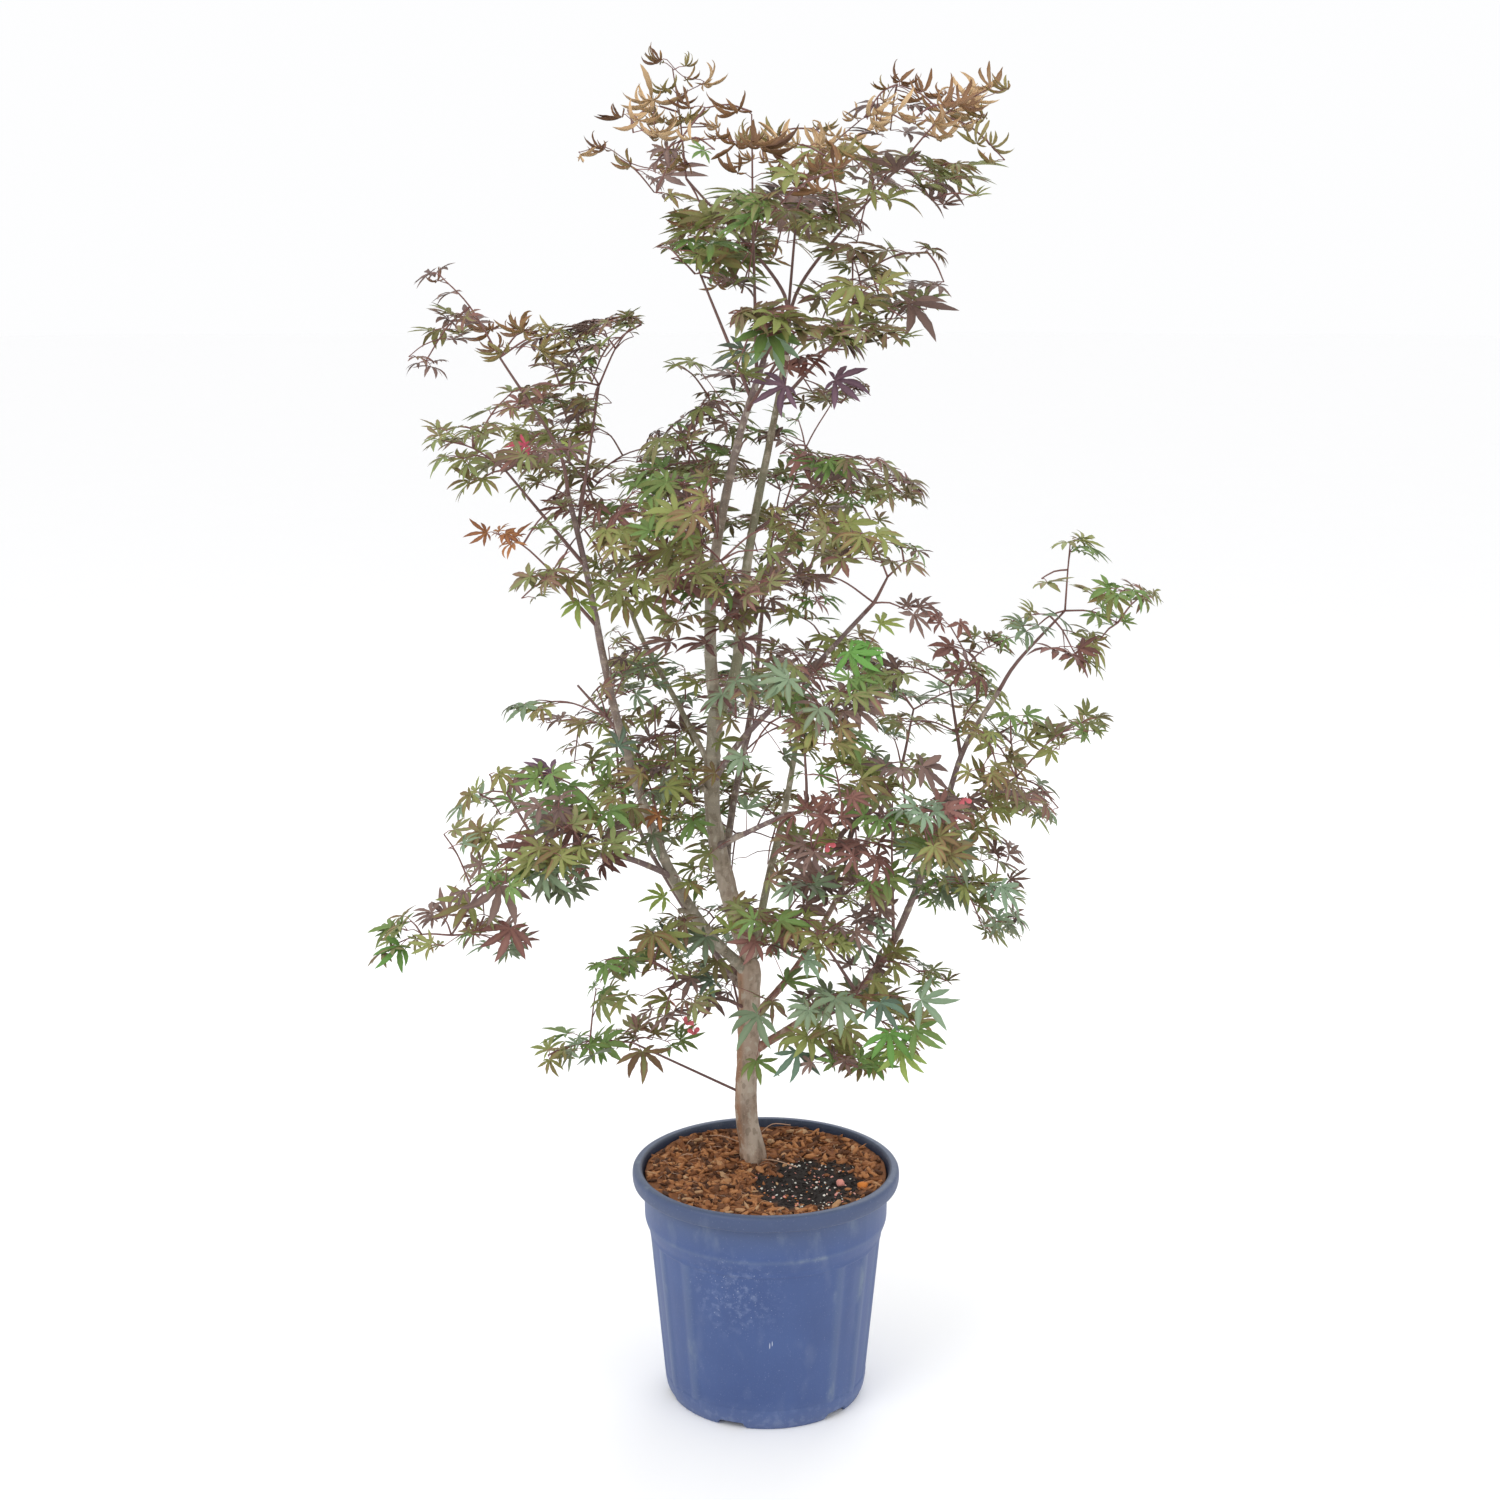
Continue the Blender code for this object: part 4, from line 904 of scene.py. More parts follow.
skin = bark.mix(bark.band(fleck, 0.55, 0.64) * 0.45, skin, rgb(108, 94, 76))
skin = bark.mix(bark.band(1 - fleck, 0.57, 0.66) * 0.50, skin, rgb(198, 190, 174))
skin = bark.mix(pores * 0.5, skin, rgb(206, 188, 160))
skin = bark.mix(bark.stored("scar") * 0.40, skin, rgb(190, 176, 156))
bark_relief = bark.bump(streak * 0.8 + pores * 0.3 + bark.noise(600, 3) * 0.2, 0.0012)
wood.make("bark_limbs", "bark", [bark.finish(skin, 0.66 + patch * 0.16, bark_relief, 0.35)], list(LIMBS))

# %% [markdown]
# ## The spaces of the foliage
# A crown isn't one cloud. Each mass of foliage hangs from one stem and keeps to its own space, so sky shows
# between the masses. Every space is an ellipsoid: a centre and a reach along each axis. Neighbours may
# overlap a little, but the growth of a mass is kept inside its own ellipsoid.

# %% Masses of foliage
# share is where the stem leaves its limb, and 1 is the limb's tip. reach is how far the leaves go from the
# centre along each axis. leaves is the number of the solid's own large leaves.
# fullness thins or fills the mass beside its neighbours.
Mass = namedtuple("Mass", "limb share centre reach leaves fullness")


def with_full_names(table):
    """The table under the names that the solids have."""
    return {name + "_foliage": row for name, row in table.items()}


MASSES = with_full_names({
    "top_left": Mass("left_leader", 1.0, (-0.108, -0.030, 1.286), (0.100, 0.120, 0.110), 6, 0.22),
    "top_front": Mass("left_leader", 0.93, (-0.015, -0.100, 1.250), (0.119, 0.113, 0.107), 9, 0.72),
    "top_right": Mass("right_leader", 1.0, (0.158, 0.010, 1.300), (0.107, 0.136, 0.113), 8, 0.52),
    "top_back": Mass("right_leader", 0.94, (0.035, 0.120, 1.275), (0.124, 0.124, 0.119), 7, 0.68),
    "top_skirt": Mass("left_leader", 0.84, (0.035, -0.090, 1.125), (0.124, 0.113, 0.079), 5, 0.56),
    "top_left_skirt": Mass("left_leader", 0.88, (-0.075, 0.030, 1.185), (0.096, 0.113, 0.079), 5, 0.75),
    "top_right_skirt": Mass("right_leader", 0.86, (0.115, 0.030, 1.150), (0.102, 0.102, 0.068), 4, 0.88),
    "top_back_skirt": Mass("right_leader", 0.80, (0.020, 0.170, 1.090), (0.113, 0.102, 0.079), 4, 0.48),
    "left_tip": Mass("left_bough", 1.0, (-0.272, -0.050, 1.112), (0.108, 0.108, 0.108), 6, 0.36),
    "left_inner": Mass("left_bough", 0.93, (-0.160, 0.020, 1.085), (0.090, 0.113, 0.096), 6, 0.80),
    "left_middle": Mass("left_bough", 0.87, (-0.265, -0.080, 1.000), (0.113, 0.107, 0.073), 5, 0.85),
    "left_lower": Mass("left_bough", 0.76, (-0.215, -0.060, 0.885), (0.102, 0.107, 0.073), 4, 0.60),
    "left_back": Mass("left_inner_bough", 1.0, (-0.195, 0.140, 0.970), (0.113, 0.113, 0.102), 6, 1.35),
    "centre_left": Mass("left_leader", 0.50, (-0.085, 0.060, 0.990), (0.096, 0.119, 0.096), 6, 1.10),
    "centre_front": Mass("left_leader", 0.32, (-0.070, -0.110, 0.900), (0.113, 0.113, 0.090), 5, 2.20),
    "centre_right": Mass("right_leader", 0.52, (0.095, 0.020, 0.990), (0.107, 0.119, 0.096), 7, 0.62),
    "centre_low_right": Mass("crossing_bough", 1.0, (0.120, -0.070, 0.885), (0.107, 0.113, 0.090), 7, 0.44),
    "centre_back": Mass("back_bough", 1.0, (0.015, 0.190, 0.930), (0.136, 0.119, 0.113), 7, 1.50),
    "right_tip": Mass("right_bough", 1.0, (0.308, -0.030, 0.855), (0.108, 0.115, 0.105), 6, 0.62),
    "right_middle": Mass("right_bough", 0.84, (0.185, 0.045, 0.765), (0.107, 0.113, 0.102), 5, 0.70),
    "right_low": Mass("right_bough", 0.70, (0.265, -0.030, 0.680), (0.119, 0.113, 0.079), 6, 0.90),
    "right_back": Mass("back_right_bough", 1.0, (0.165, 0.180, 0.720), (0.113, 0.113, 0.102), 5, 0.60),
    "low_right_front": Mass("right_bough", 0.42, (0.120, -0.110, 0.640), (0.124, 0.113, 0.096), 6, 1.20),
    "low_right_inner": Mass("right_bough", 0.28, (0.045, -0.070, 0.530), (0.096, 0.102, 0.073), 4, 1.20),
    "low_right": Mass("right_bough", 0.16, (0.095, -0.040, 0.435), (0.119, 0.113, 0.085), 6, 0.90),
    "low_right_tip": Mass("right_bough", 0.52, (0.205, -0.010, 0.560), (0.102, 0.107, 0.085), 4, 1.35),
    "low_right_back": Mass("back_right_bough", 0.55, (0.130, 0.170, 0.530), (0.113, 0.102, 0.096), 5, 0.65),
    "low_left_tip": Mass("low_left_bough", 1.0, (-0.325, -0.060, 0.500), (0.110, 0.100, 0.080), 5, 0.42),
    "low_left_front": Mass("low_left_bough", 0.55, (-0.220, -0.130, 0.630), (0.113, 0.102, 0.096), 6, 1.00),
    "low_left_middle": Mass("low_left_bough", 0.75, (-0.27, -0.01, 0.665), (0.096, 0.09, 0.073), 5, 0.20),
    "low_left_inner": Mass("left_bough", 0.30, (-0.120, 0.050, 0.650), (0.090, 0.102, 0.090), 4, 1.90),
    "low_left_back": Mass("back_left_bough", 1.0, (-0.165, 0.180, 0.700), (0.113, 0.102, 0.102), 5, 1.10),
    "middle_left": Mass("left_bough", 0.56, (-0.200, 0.020, 0.765), (0.113, 0.102, 0.062), 5, 0.60),
    "middle_back": Mass("back_bough", 0.45, (-0.010, 0.190, 0.690), (0.113, 0.102, 0.102), 5, 1.40),
    "middle_low_back": Mass("back_bough", 0.15, (-0.030, 0.190, 0.560), (0.113, 0.107, 0.090), 4, 1.60),
    "middle_right": Mass("centre_bough", 1.0, (0.065, 0.090, 0.800), (0.090, 0.090, 0.079), 4, 0.72),
    "middle_front": Mass("front_bough", 1.0, (0.035, -0.120, 0.745), (0.102, 0.090, 0.079), 5, 0.95),
    "bottom_left": Mass("trunk", 0.32, (-0.165, 0.000, 0.395), (0.119, 0.096, 0.068), 4, 0.42),
    "bottom_front": Mass("trunk", 0.74, (-0.105, -0.060, 0.480), (0.096, 0.102, 0.062), 3, 0.80),
    "bottom_back": Mass("trunk", 0.55, (-0.040, 0.130, 0.430), (0.090, 0.090, 0.079), 4, 0.95),
})

NAMES = list(MASSES)
BOX_LOW, BOX_HIGH = (np.array(corner) for corner in solid_box)


def family_of(name):
    """The family of masses that shares one piece of leaves: the first word of the mass's name."""
    return name.split("_")[0]


def in_reach(points, name):
    """Whether every point is in the mass's reach and in the solids' box."""
    boxed = (points > BOX_LOW).all() and (points < BOX_HIGH).all()
    share = np.linalg.norm((points - MASSES[name].centre) / np.array(MASSES[name].reach), axis=1)
    return bool(boxed and (share < 1).all())


limb_lines = {name: limb_shape(name, 0.004)[:2] for name in LIMBS}
limb_spots = np.concatenate([path for path, _ in limb_lines.values()])
limb_widths = np.concatenate([radii for _, radii in limb_lines.values()])


def clear_of_limbs(points, gap=0.003):
    """Whether every point is further than the gap from the skin of every limb."""
    away = np.linalg.norm(points[:, None] - limb_spots, axis=2) - limb_widths
    return bool((away > gap).all())


print(len(MASSES), "masses in", len({family_of(name) for name in MASSES}), "families")

# %% [markdown]
# ## Outline and windows
# What one sees first in a plant is its outline and the sky that shows through it. Both are drawn here as seen
# by the camera, on the upright plane through the middle of the pot, in metres: one closed line round the
# crown, and ovals where the crown is open. A grown leaf is only kept if its tips fall inside the line and
# outside the ovals that are quite open, and if they don't hide the two leaders where those should show. From
# other sides the plant stays full, because every mass still fills its own depth.

# %% Outline of the crown, and where it is open
CROWN_OUTLINE = np.array([
    (-0.105, 1.385), (-0.070, 1.370), (-0.040, 1.335), (0.030, 1.310), (0.080, 1.315), (0.110, 1.360),
    (0.240, 1.355), (0.210, 1.300), (0.250, 1.275), (0.245, 1.250), (0.180, 1.215), (0.175, 1.150),
    (0.195, 1.135), (0.140, 1.115), (0.175, 1.095), (0.165, 1.075), (0.115, 1.080), (0.100, 1.045),
    (0.050, 1.015), (0.155, 0.965), (0.165, 0.930), (0.200, 0.905), (0.165, 0.850), (0.225, 0.820),
    (0.270, 0.875), (0.280, 0.920), (0.330, 0.920), (0.340, 0.880), (0.410, 0.845), (0.345, 0.800),
    (0.355, 0.710), (0.290, 0.675), (0.300, 0.630), (0.370, 0.610), (0.360, 0.585), (0.270, 0.535),
    (0.265, 0.470), (0.190, 0.440), (0.170, 0.330), (0.005, 0.320), (-0.050, 0.300), (-0.130, 0.330),
    (-0.230, 0.330), (-0.255, 0.380), (-0.180, 0.405), (-0.200, 0.460), (-0.150, 0.480), (-0.210, 0.505),
    (-0.245, 0.465), (-0.295, 0.450), (-0.325, 0.475), (-0.410, 0.450), (-0.405, 0.520), (-0.335, 0.535),
    (-0.335, 0.590), (-0.320, 0.655), (-0.200, 0.700), (-0.285, 0.715), (-0.280, 0.745), (-0.175, 0.745),
    (-0.165, 0.800), (-0.270, 0.845), (-0.250, 0.880), (-0.315, 0.900), (-0.345, 1.005), (-0.360, 1.090),
    (-0.340, 1.175), (-0.305, 1.175), (-0.210, 1.115), (-0.110, 1.135), (-0.135, 1.000), (-0.085, 1.025),
    (-0.065, 1.060), (-0.115, 1.070), (-0.075, 1.095), (-0.030, 1.135), (-0.110, 1.185), (-0.095, 1.220),
    (-0.145, 1.270), (-0.195, 1.285), (-0.140, 1.295), (-0.155, 1.330),
])
# Middle and half size of each opening, and how open it is: 1 keeps every leaf out.
WINDOWS = np.array([
    (-0.140, 1.040, 0.020, 0.065, 1.0), (0.090, 1.010, 0.060, 0.025, 1.0), (-0.075, 1.105, 0.030, 0.025, 1.0),
    (-0.220, 0.790, 0.060, 0.035, 1.0), (0.195, 0.925, 0.035, 0.050, 1.0), (-0.015, 0.590, 0.015, 0.045, 1.0),
    (-0.005, 0.705, 0.015, 0.030, 1.0), (0.015, 0.450, 0.020, 0.020, 1.0), (-0.115, 0.440, 0.025, 0.015, 1.0),
    (-0.080, 1.315, 0.110, 0.035, 0.8), (0.180, 1.315, 0.080, 0.045, 0.7), (0.120, 1.140, 0.070, 0.045, 0.6),
    (-0.080, 1.255, 0.055, 0.025, 0.5), (-0.280, 1.010, 0.070, 0.035, 0.4),
    (-0.120, 0.865, 0.040, 0.035, 0.5), (-0.100, 0.720, 0.060, 0.030, 0.4), (0.150, 0.405, 0.060, 0.030, 0.7),
    (-0.170, 0.505, 0.050, 0.020, 0.5), (-0.300, 1.080, 0.070, 0.080, 0.4), (0.120, 0.850, 0.070, 0.050, 0.8),
    (0.200, 0.760, 0.080, 0.080, 0.4), (-0.180, 0.720, 0.080, 0.050, 0.6), (-0.300, 0.620, 0.060, 0.070, 0.6),
    (-0.350, 0.500, 0.060, 0.040, 0.5), (-0.150, 0.415, 0.070, 0.050, 0.5), (0.130, 0.440, 0.070, 0.050, 0.4),
    (0.180, 0.520, 0.050, 0.060, 0.3),
])


EYE = np.array(CAMERA_PLACE)


def seen_from_front(points):
    """Where the camera sees each point on the upright plane through the middle of the pot."""
    share = -EYE[1] / (points[:, 1] - EYE[1])
    return (EYE + (points - EYE) * share[:, None])[:, [0, 2]]


def in_view_outline(seen):
    """Whether every seen place is inside the crown's outline."""
    a, b = CROWN_OUTLINE, np.roll(CROWN_OUTLINE, -1, axis=0)
    x, z = seen[:, 0, None], seen[:, 1, None]
    straddles = (a[:, 1] > z) != (b[:, 1] > z)
    rise = np.where(b[:, 1] == a[:, 1], 1, b[:, 1] - a[:, 1])
    crossing = a[:, 0] + (z - a[:, 1]) / rise * (b[:, 0] - a[:, 0])
    return bool(((straddles & (x < crossing)).sum(axis=1) % 2 == 1).all())


def in_window(seen, rng):
    """Whether any seen place is in an opening. One that isn't quite open lets some leaves through."""
    inside = (np.linalg.norm((seen[:, None] - WINDOWS[:, :2]) / WINDOWS[:, 2:4], axis=2) < 1).any(axis=0)
    return bool((inside & (WINDOWS[:, 4] > rng.uniform())).any())


# Limbs that show through the crown from the front, and between which heights.
SHOWN_LIMBS = {"left_leader": (0.89, 1.04), "right_leader": (0.87, 1.02)}
SHOWN_GAP = 0.0085
shown_spots = [
    spot for name, (low, high) in SHOWN_LIMBS.items() for spot in limb_lines[name][0] if low < spot[2] < high
]
shown_seen = seen_from_front(np.array(shown_spots))
shown_depth = max(spot[1] for spot in shown_spots)


def hides_a_stem(points, seen):
    """Whether any of the points is seen in front of a limb that should show."""
    gaps = np.linalg.norm(seen[:, None] - shown_seen, axis=2).min(axis=1)
    return bool(((gaps < SHOWN_GAP) & (points[:, 1] < shown_depth)).any())


print("the outline is", len(CROWN_OUTLINE), "points, with", len(WINDOWS), "windows")

# %% [markdown]
# ## How a mass grows
# The rule is the one the solids were grown by, carried on to finer twigs. A stem leaves the limb for the
# heart of the space. Then places for sprays are dealt out, each in one of the emptier parts of the space, and
# a twig arches to each place from wood of the same mass. Maples bear their leaves in opposite pairs, so pairs
# of leaves or of side shoots stand along the twig, and each shoot ends in a pair and one leaf more.

# %% Stem and twigs
STEM_RADIUS = 0.0021
STEM_SLIMNESS = {"bottom_left_foliage": 0.70}
STEM_SINK = 0.004
STEM_BEND = 0.28
HEART_SHARE = 0.25
TWIG_ARCH = 0.10
# A twig's first stretch, which may leave the space or pass close to a limb.
FREE_RUN = 0.015
MOST_PALMS = 9000
FAR_AWAY = 9.0
ROUND_MASS = 1.3
STEPS_TO_DISTANCE = 1.3
CANDIDATES = 40
BEST_CANDIDATES = 10
SITE_REACH = 0.80
SITE_LIFT = 0.10
SITE_LIFTS = {"top": -0.15}


class Palms:
    """Where the leaves of the whole crown are, so that no two share a place."""

    def __init__(self):
        self.spots, self.count = np.full((MOST_PALMS, 3), FAR_AWAY), 0

    def add(self, spot):
        self.spots[self.count] = spot
        self.count += 1

    def crowded(self, spot, gap):
        """Whether a palm is near. Adding up the steps along the axes is quicker than the distance."""
        steps = np.abs(self.spots[:self.count] - spot).sum(axis=1)
        return bool((steps < STEPS_TO_DISTANCE * gap).any())

    def near(self, mass):
        """The palms in and round a mass, or its centre if there are none."""
        spots = self.spots[:self.count]
        close = np.linalg.norm((spots - mass.centre) / np.array(mass.reach), axis=1) < ROUND_MASS
        return spots[close] if close.any() else np.array([mass.centre])


def stem_of(name):
    """The stem's line, from inside its limb to the near part of its space."""
    mass = MASSES[name]
    path, radii, run = limb_shape(mass.limb, 0.02)
    foot = spot_at(path, run, mass.share * run[-1])
    centre = np.array(mass.centre)
    heading = unit(path[-1] - path[-2]) if mass.share == 1 else unit(centre - foot)
    if mass.share == 1:
        foot = foot - STEM_SINK * heading
    bend = foot + heading * STEM_BEND * np.linalg.norm(centre - foot)
    return np.array([foot, bend, centre + (bend - centre) * HEART_SHARE])


def next_site(name, palms, rng):
    """A place for a spray: one of those furthest from the leaves so far."""
    mass = MASSES[name]
    drawn = rng.normal(size=(CANDIDATES, 3))
    drawn *= (rng.uniform(0, 1, CANDIDATES) ** (1 / 3) * SITE_REACH / np.linalg.norm(drawn, axis=1))[:, None]
    lift = SITE_LIFTS.get(family_of(name), SITE_LIFT)
    drawn = np.array(mass.centre) + (drawn + (0, 0, lift)) * np.array(mass.reach)
    gaps = np.linalg.norm((drawn[:, None] - palms.near(mass)) / np.array(mass.reach), axis=2).min(axis=1)
    for index in rng.permutation(np.argsort(-gaps)[:BEST_CANDIDATES]):
        spot = drawn[index][None]
        seen = seen_from_front(spot)
        in_view = in_reach(spot, name) and in_view_outline(seen) and not in_window(seen, rng)
        if in_view and clear_of_limbs(spot):
            return drawn[index]
    return None


def along_line(points, spacing=0.006):
    """Samples along a bent line."""
    parts = []
    for a, b in zip(points, points[1:]):
        count = max(2, math.ceil(np.linalg.norm(b - a) / spacing))
        parts.append(a + (b - a) * np.linspace(0, 1, count)[:, None])
    return np.concatenate(parts)


def twig_to(site, nodes, name):
    """An arching line to the site from one of the three nearest nodes, or None where none has a clear way."""
    for start in sorted(nodes, key=lambda p: np.linalg.norm(site - p))[:3]:
        reach = np.linalg.norm(site - start)
        middle = (start + site) / 2 + (0, 0, TWIG_ARCH * reach)
        spots = along_line((start, middle, site))
        inner = spots[np.linalg.norm(spots - start, axis=1) > FREE_RUN]
        in_view = len(inner) and in_reach(inner, name) and in_view_outline(seen_from_front(inner))
        if in_view and clear_of_limbs(inner):
            return np.array([start, middle, site])
    return None


print("the stem of", NAMES[0], "is", round(float(run_along(stem_of(NAMES[0]))[-1]), 3), "m long")

# %% [markdown]
# ## One leaf
# The leaf of this maple has seven lobes like a spread hand. Each lobe is narrow at its root, widest at half
# its length and drawn out to a point, with teeth along its edge, and it is folded along its rib. A flat card
# with a picture would be cheaper, but it is nothing from the side. This leaf is a mesh: a rib and two edges
# for each lobe. Bending the lobe's rib along an arc gives both a fresh leaf that droops and a dry one that
# curls up like a claw.

# %% Leaf pattern
# Each lobe's angle from the middle one in degrees, and its length beside it.
LOBES = ((0, 1.0), (38, 0.94), (-38, 0.94), (76, 0.76), (-76, 0.76), (120, 0.42), (-120, 0.42))
# Places along a lobe, and its half width at each, both beside its length.
RUNS = (0, 0.17, 0.30, 0.42, 0.53, 0.64, 0.76, 0.88, 1.0)
HALF_WIDTHS = (0, 0.072, 0.074, 0.106, 0.098, 0.103, 0.069, 0.044, 0)
MIDDLE_RUN = RUNS[4]


def leaf_pattern():
    """Each point's lobe, its run along the rib and its half width to the side, and the triangles."""
    marks, faces = [], []
    for lobe in range(len(LOBES)):
        first = len(marks)
        marks.append((lobe, 0, 0))
        for run, width in zip(RUNS[1:-1], HALF_WIDTHS[1:-1]):
            marks += [(lobe, run, -width), (lobe, run, 0), (lobe, run, width)]
        marks.append((lobe, 1, 0))
        left, rib, right = first + 1, first + 2, first + 3
        faces += [(first, rib, left), (first, right, rib)]
        for _ in RUNS[2:-1]:
            for a, b in ((left, rib), (rib, right)):
                faces += [(a, b, b + 3), (a, b + 3, a + 3)]
            left, rib, right = left + 3, rib + 3, right + 3
        faces += [(left, rib, right + 1), (rib, right, right + 1)]
    lobes, runs, sides = np.array(marks).T
    return lobes.astype(int), runs, sides, np.array(faces)


LEAF_LOBE, LEAF_RUN, LEAF_SIDE, LEAF_FACES = leaf_pattern()
print("a leaf has", len(LEAF_FACES), "triangles")

# %% Bend a leaf into shape
LOBE_LOOSENESS = 0.10
DRY_LOOSENESS = 0.34
ANGLE_LOOSENESS = 0.07
SPAN_RANGE = (0.88, 1.08)
BEND_RANGE = (0.5, 1.4)
# In radians: how steeply the lobes start, how far they then bend down, how far they are folded along the rib,
# and how far they sweep sideways. slim is their width, and fan how far they spread, beside the pattern's.
Shape = namedtuple("Shape", "rise bend fold slim sweep fan")


def leaf_blade(length, shape, rng):
    """A leaf's points in its own axes: across, along the middle rib, and up. The palm is the origin."""
    count = len(LOBES)
    angles = np.radians([angle * shape.fan for angle, _ in LOBES]) + rng.normal(0, ANGLE_LOOSENESS, count)
    spans = np.array([span for _, span in LOBES]) * rng.uniform(*SPAN_RANGE, count) * length
    rise = shape.rise + rng.normal(0, LOBE_LOOSENESS if shape.bend > 0 else DRY_LOOSENESS, count)
    bend = shape.bend * rng.uniform(*BEND_RANGE, count) + 1e-3
    sweep = rng.normal(0, shape.sweep, count)
    start = rise[LEAF_LOBE]
    at = start - bend[LEAF_LOBE] * LEAF_RUN
    out = spans[LEAF_LOBE] * (np.sin(start) - np.sin(at)) / bend[LEAF_LOBE]
    up = spans[LEAF_LOBE] * (np.cos(at) - np.cos(start)) / bend[LEAF_LOBE]
    angle = angles[LEAF_LOBE] + sweep[LEAF_LOBE] * LEAF_RUN**2
    side = LEAF_SIDE * np.minimum(1, spans[LEAF_LOBE] / length + 0.12) * length * shape.slim
    x = out * np.sin(angle) + side * np.cos(angle) * math.cos(shape.fold)
    y = out * np.cos(angle) - side * np.sin(angle) * math.cos(shape.fold)
    return np.stack([x, y, up + shape.fold * np.abs(side)], axis=1)


def leaf_frame(heading, face):
    """Axes of a leaf: across, along its middle rib, and out of its face."""
    face = unit(face)
    along = unit(heading - face * (heading @ face))
    return np.array([np.cross(along, face), along, face])


# The points that stand for a leaf when its room is tested: its palm, and the middle and tip of each rib.
TIPS = np.flatnonzero((LEAF_RUN == 1) | ((LEAF_RUN == MIDDLE_RUN) & (LEAF_SIDE == 0)) | (LEAF_RUN == 0))
FRESH = Shape(0.12, 0.45, 0.38, 1.0, 0.16, 1.0)
DRY = Shape(-0.45, -1.90, 0.95, 1.05, 0.35, 0.85)
sample = leaf_blade(0.04, FRESH, np.random.default_rng(1))
print("a leaf with lobes of 40 mm is", round(1000 * float(np.ptp(sample[:, 0]))), "mm wide")

# %% [markdown]
# ## Autumn colours
# The tree stands at the turn of the season. Low down, more leaves are still green or grey green. Higher up
# most have gone olive, two toned or purple brown, and the topmost have dried to tan. Colour changes from
# spray to spray more than from leaf to leaf, so each spray draws its finish from its family's list.
# A leaf's finish is three colours: the blade, its edge and its ribs, with small blotches between. Each lobe
# is also painted lighter or darker, as painted highlight and painted shade.

# %% Leaf finishes
# Each finish's colour on the blade, at its edge and on its ribs.
TINTS = {
    "olive": (rgb(118, 128, 64), rgb(128, 98, 66), rgb(160, 150, 104)),
    "dark_olive": (rgb(98, 108, 54), rgb(112, 82, 62), rgb(142, 128, 90)),
    "purple_brown": (rgb(114, 92, 84), rgb(94, 74, 70), rgb(146, 114, 102)),
    "maroon": (rgb(120, 82, 74), rgb(98, 62, 58), rgb(152, 108, 94)),
    "green": (rgb(92, 122, 60), rgb(108, 118, 60), rgb(136, 156, 94)),
    "grey_green": (rgb(110, 130, 100), rgb(108, 112, 84), rgb(146, 158, 130)),
    "lime": (rgb(130, 150, 70), rgb(144, 138, 74), rgb(164, 176, 108)),
    "two_toned": (rgb(112, 128, 70), rgb(124, 82, 78), rgb(160, 126, 106)),
    "rust": (rgb(156, 102, 58), rgb(128, 76, 48), rgb(180, 132, 88)),
    "pink_brown": (rgb(144, 110, 104), rgb(120, 84, 84), rgb(176, 140, 128)),
    "dry_tan": (rgb(192, 162, 122), rgb(152, 114, 78), rgb(206, 180, 142)),
    "dry_brown": (rgb(134, 98, 66), rgb(104, 72, 52), rgb(162, 124, 90)),
    "dry_olive": (rgb(132, 122, 74), rgb(142, 100, 62), rgb(174, 156, 108)),
    "sage": (rgb(118, 142, 114), rgb(108, 122, 94), rgb(150, 168, 138)),
    "teal": (rgb(84, 110, 92), rgb(86, 94, 78), rgb(124, 144, 120)),
    "purple": (rgb(112, 86, 102), rgb(92, 68, 84), rgb(140, 108, 118)),
    "bright_green": (rgb(86, 136, 56), rgb(98, 128, 58), rgb(124, 160, 88)),
    "red": (rgb(172, 62, 84), rgb(140, 54, 70), rgb(196, 100, 110)),
}
TINT_NAMES = list(TINTS)
LEAF_GAIN = 1.10


def leaf_finish(name, *colours):
    """A leaf's material. Its masks are the numbers that add_leaf keeps on the leaf's points."""
    paint = Paint("leaf_" + name)
    blade, edge, rib = (tuple(LEAF_GAIN * c for c in colour) for colour in colours)
    blotch = paint.noise(70, 5)
    fine = paint.noise(480, 3)
    turned = paint.stored("turned")
    outer_part = paint.stored("edge") + (blotch - 0.5) * 1.1 + (turned - 0.5) * 0.9
    colour = paint.mix(paint.band(outer_part, 0.35, 0.80), blade, edge)
    colour = paint.mix(paint.band(blotch, 0.60, 0.75) * turned * 0.6, colour, rgb(134, 88, 54))
    colour = paint.mix(paint.stored("rib") * 0.55, colour, rib)
    # Painted highlight and painted shade: each lobe's number mixes in a lighter blade or a darker edge
    # colour.
    light = tuple(min(1.0, 1.22 * c + 0.02) for c in blade)
    painted_shade_colour = tuple(0.62 * c for c in edge)
    colour = paint.mix(paint.band(paint.stored("shade"), 0.55, 1.0) * 0.55, colour, light)
    colour = paint.mix(paint.band(1 - paint.stored("shade"), 0.55, 1.0) * 0.55, colour, painted_shade_colour)
    relief = paint.bump(fine * 0.5 + paint.stored("rib") * 0.8, 0.0006)
    return paint.finish(colour, 0.50 + blotch * 0.20, relief, 0.38)


leaf_finishes = [leaf_finish(name, *colours) for name, colours in TINTS.items()]

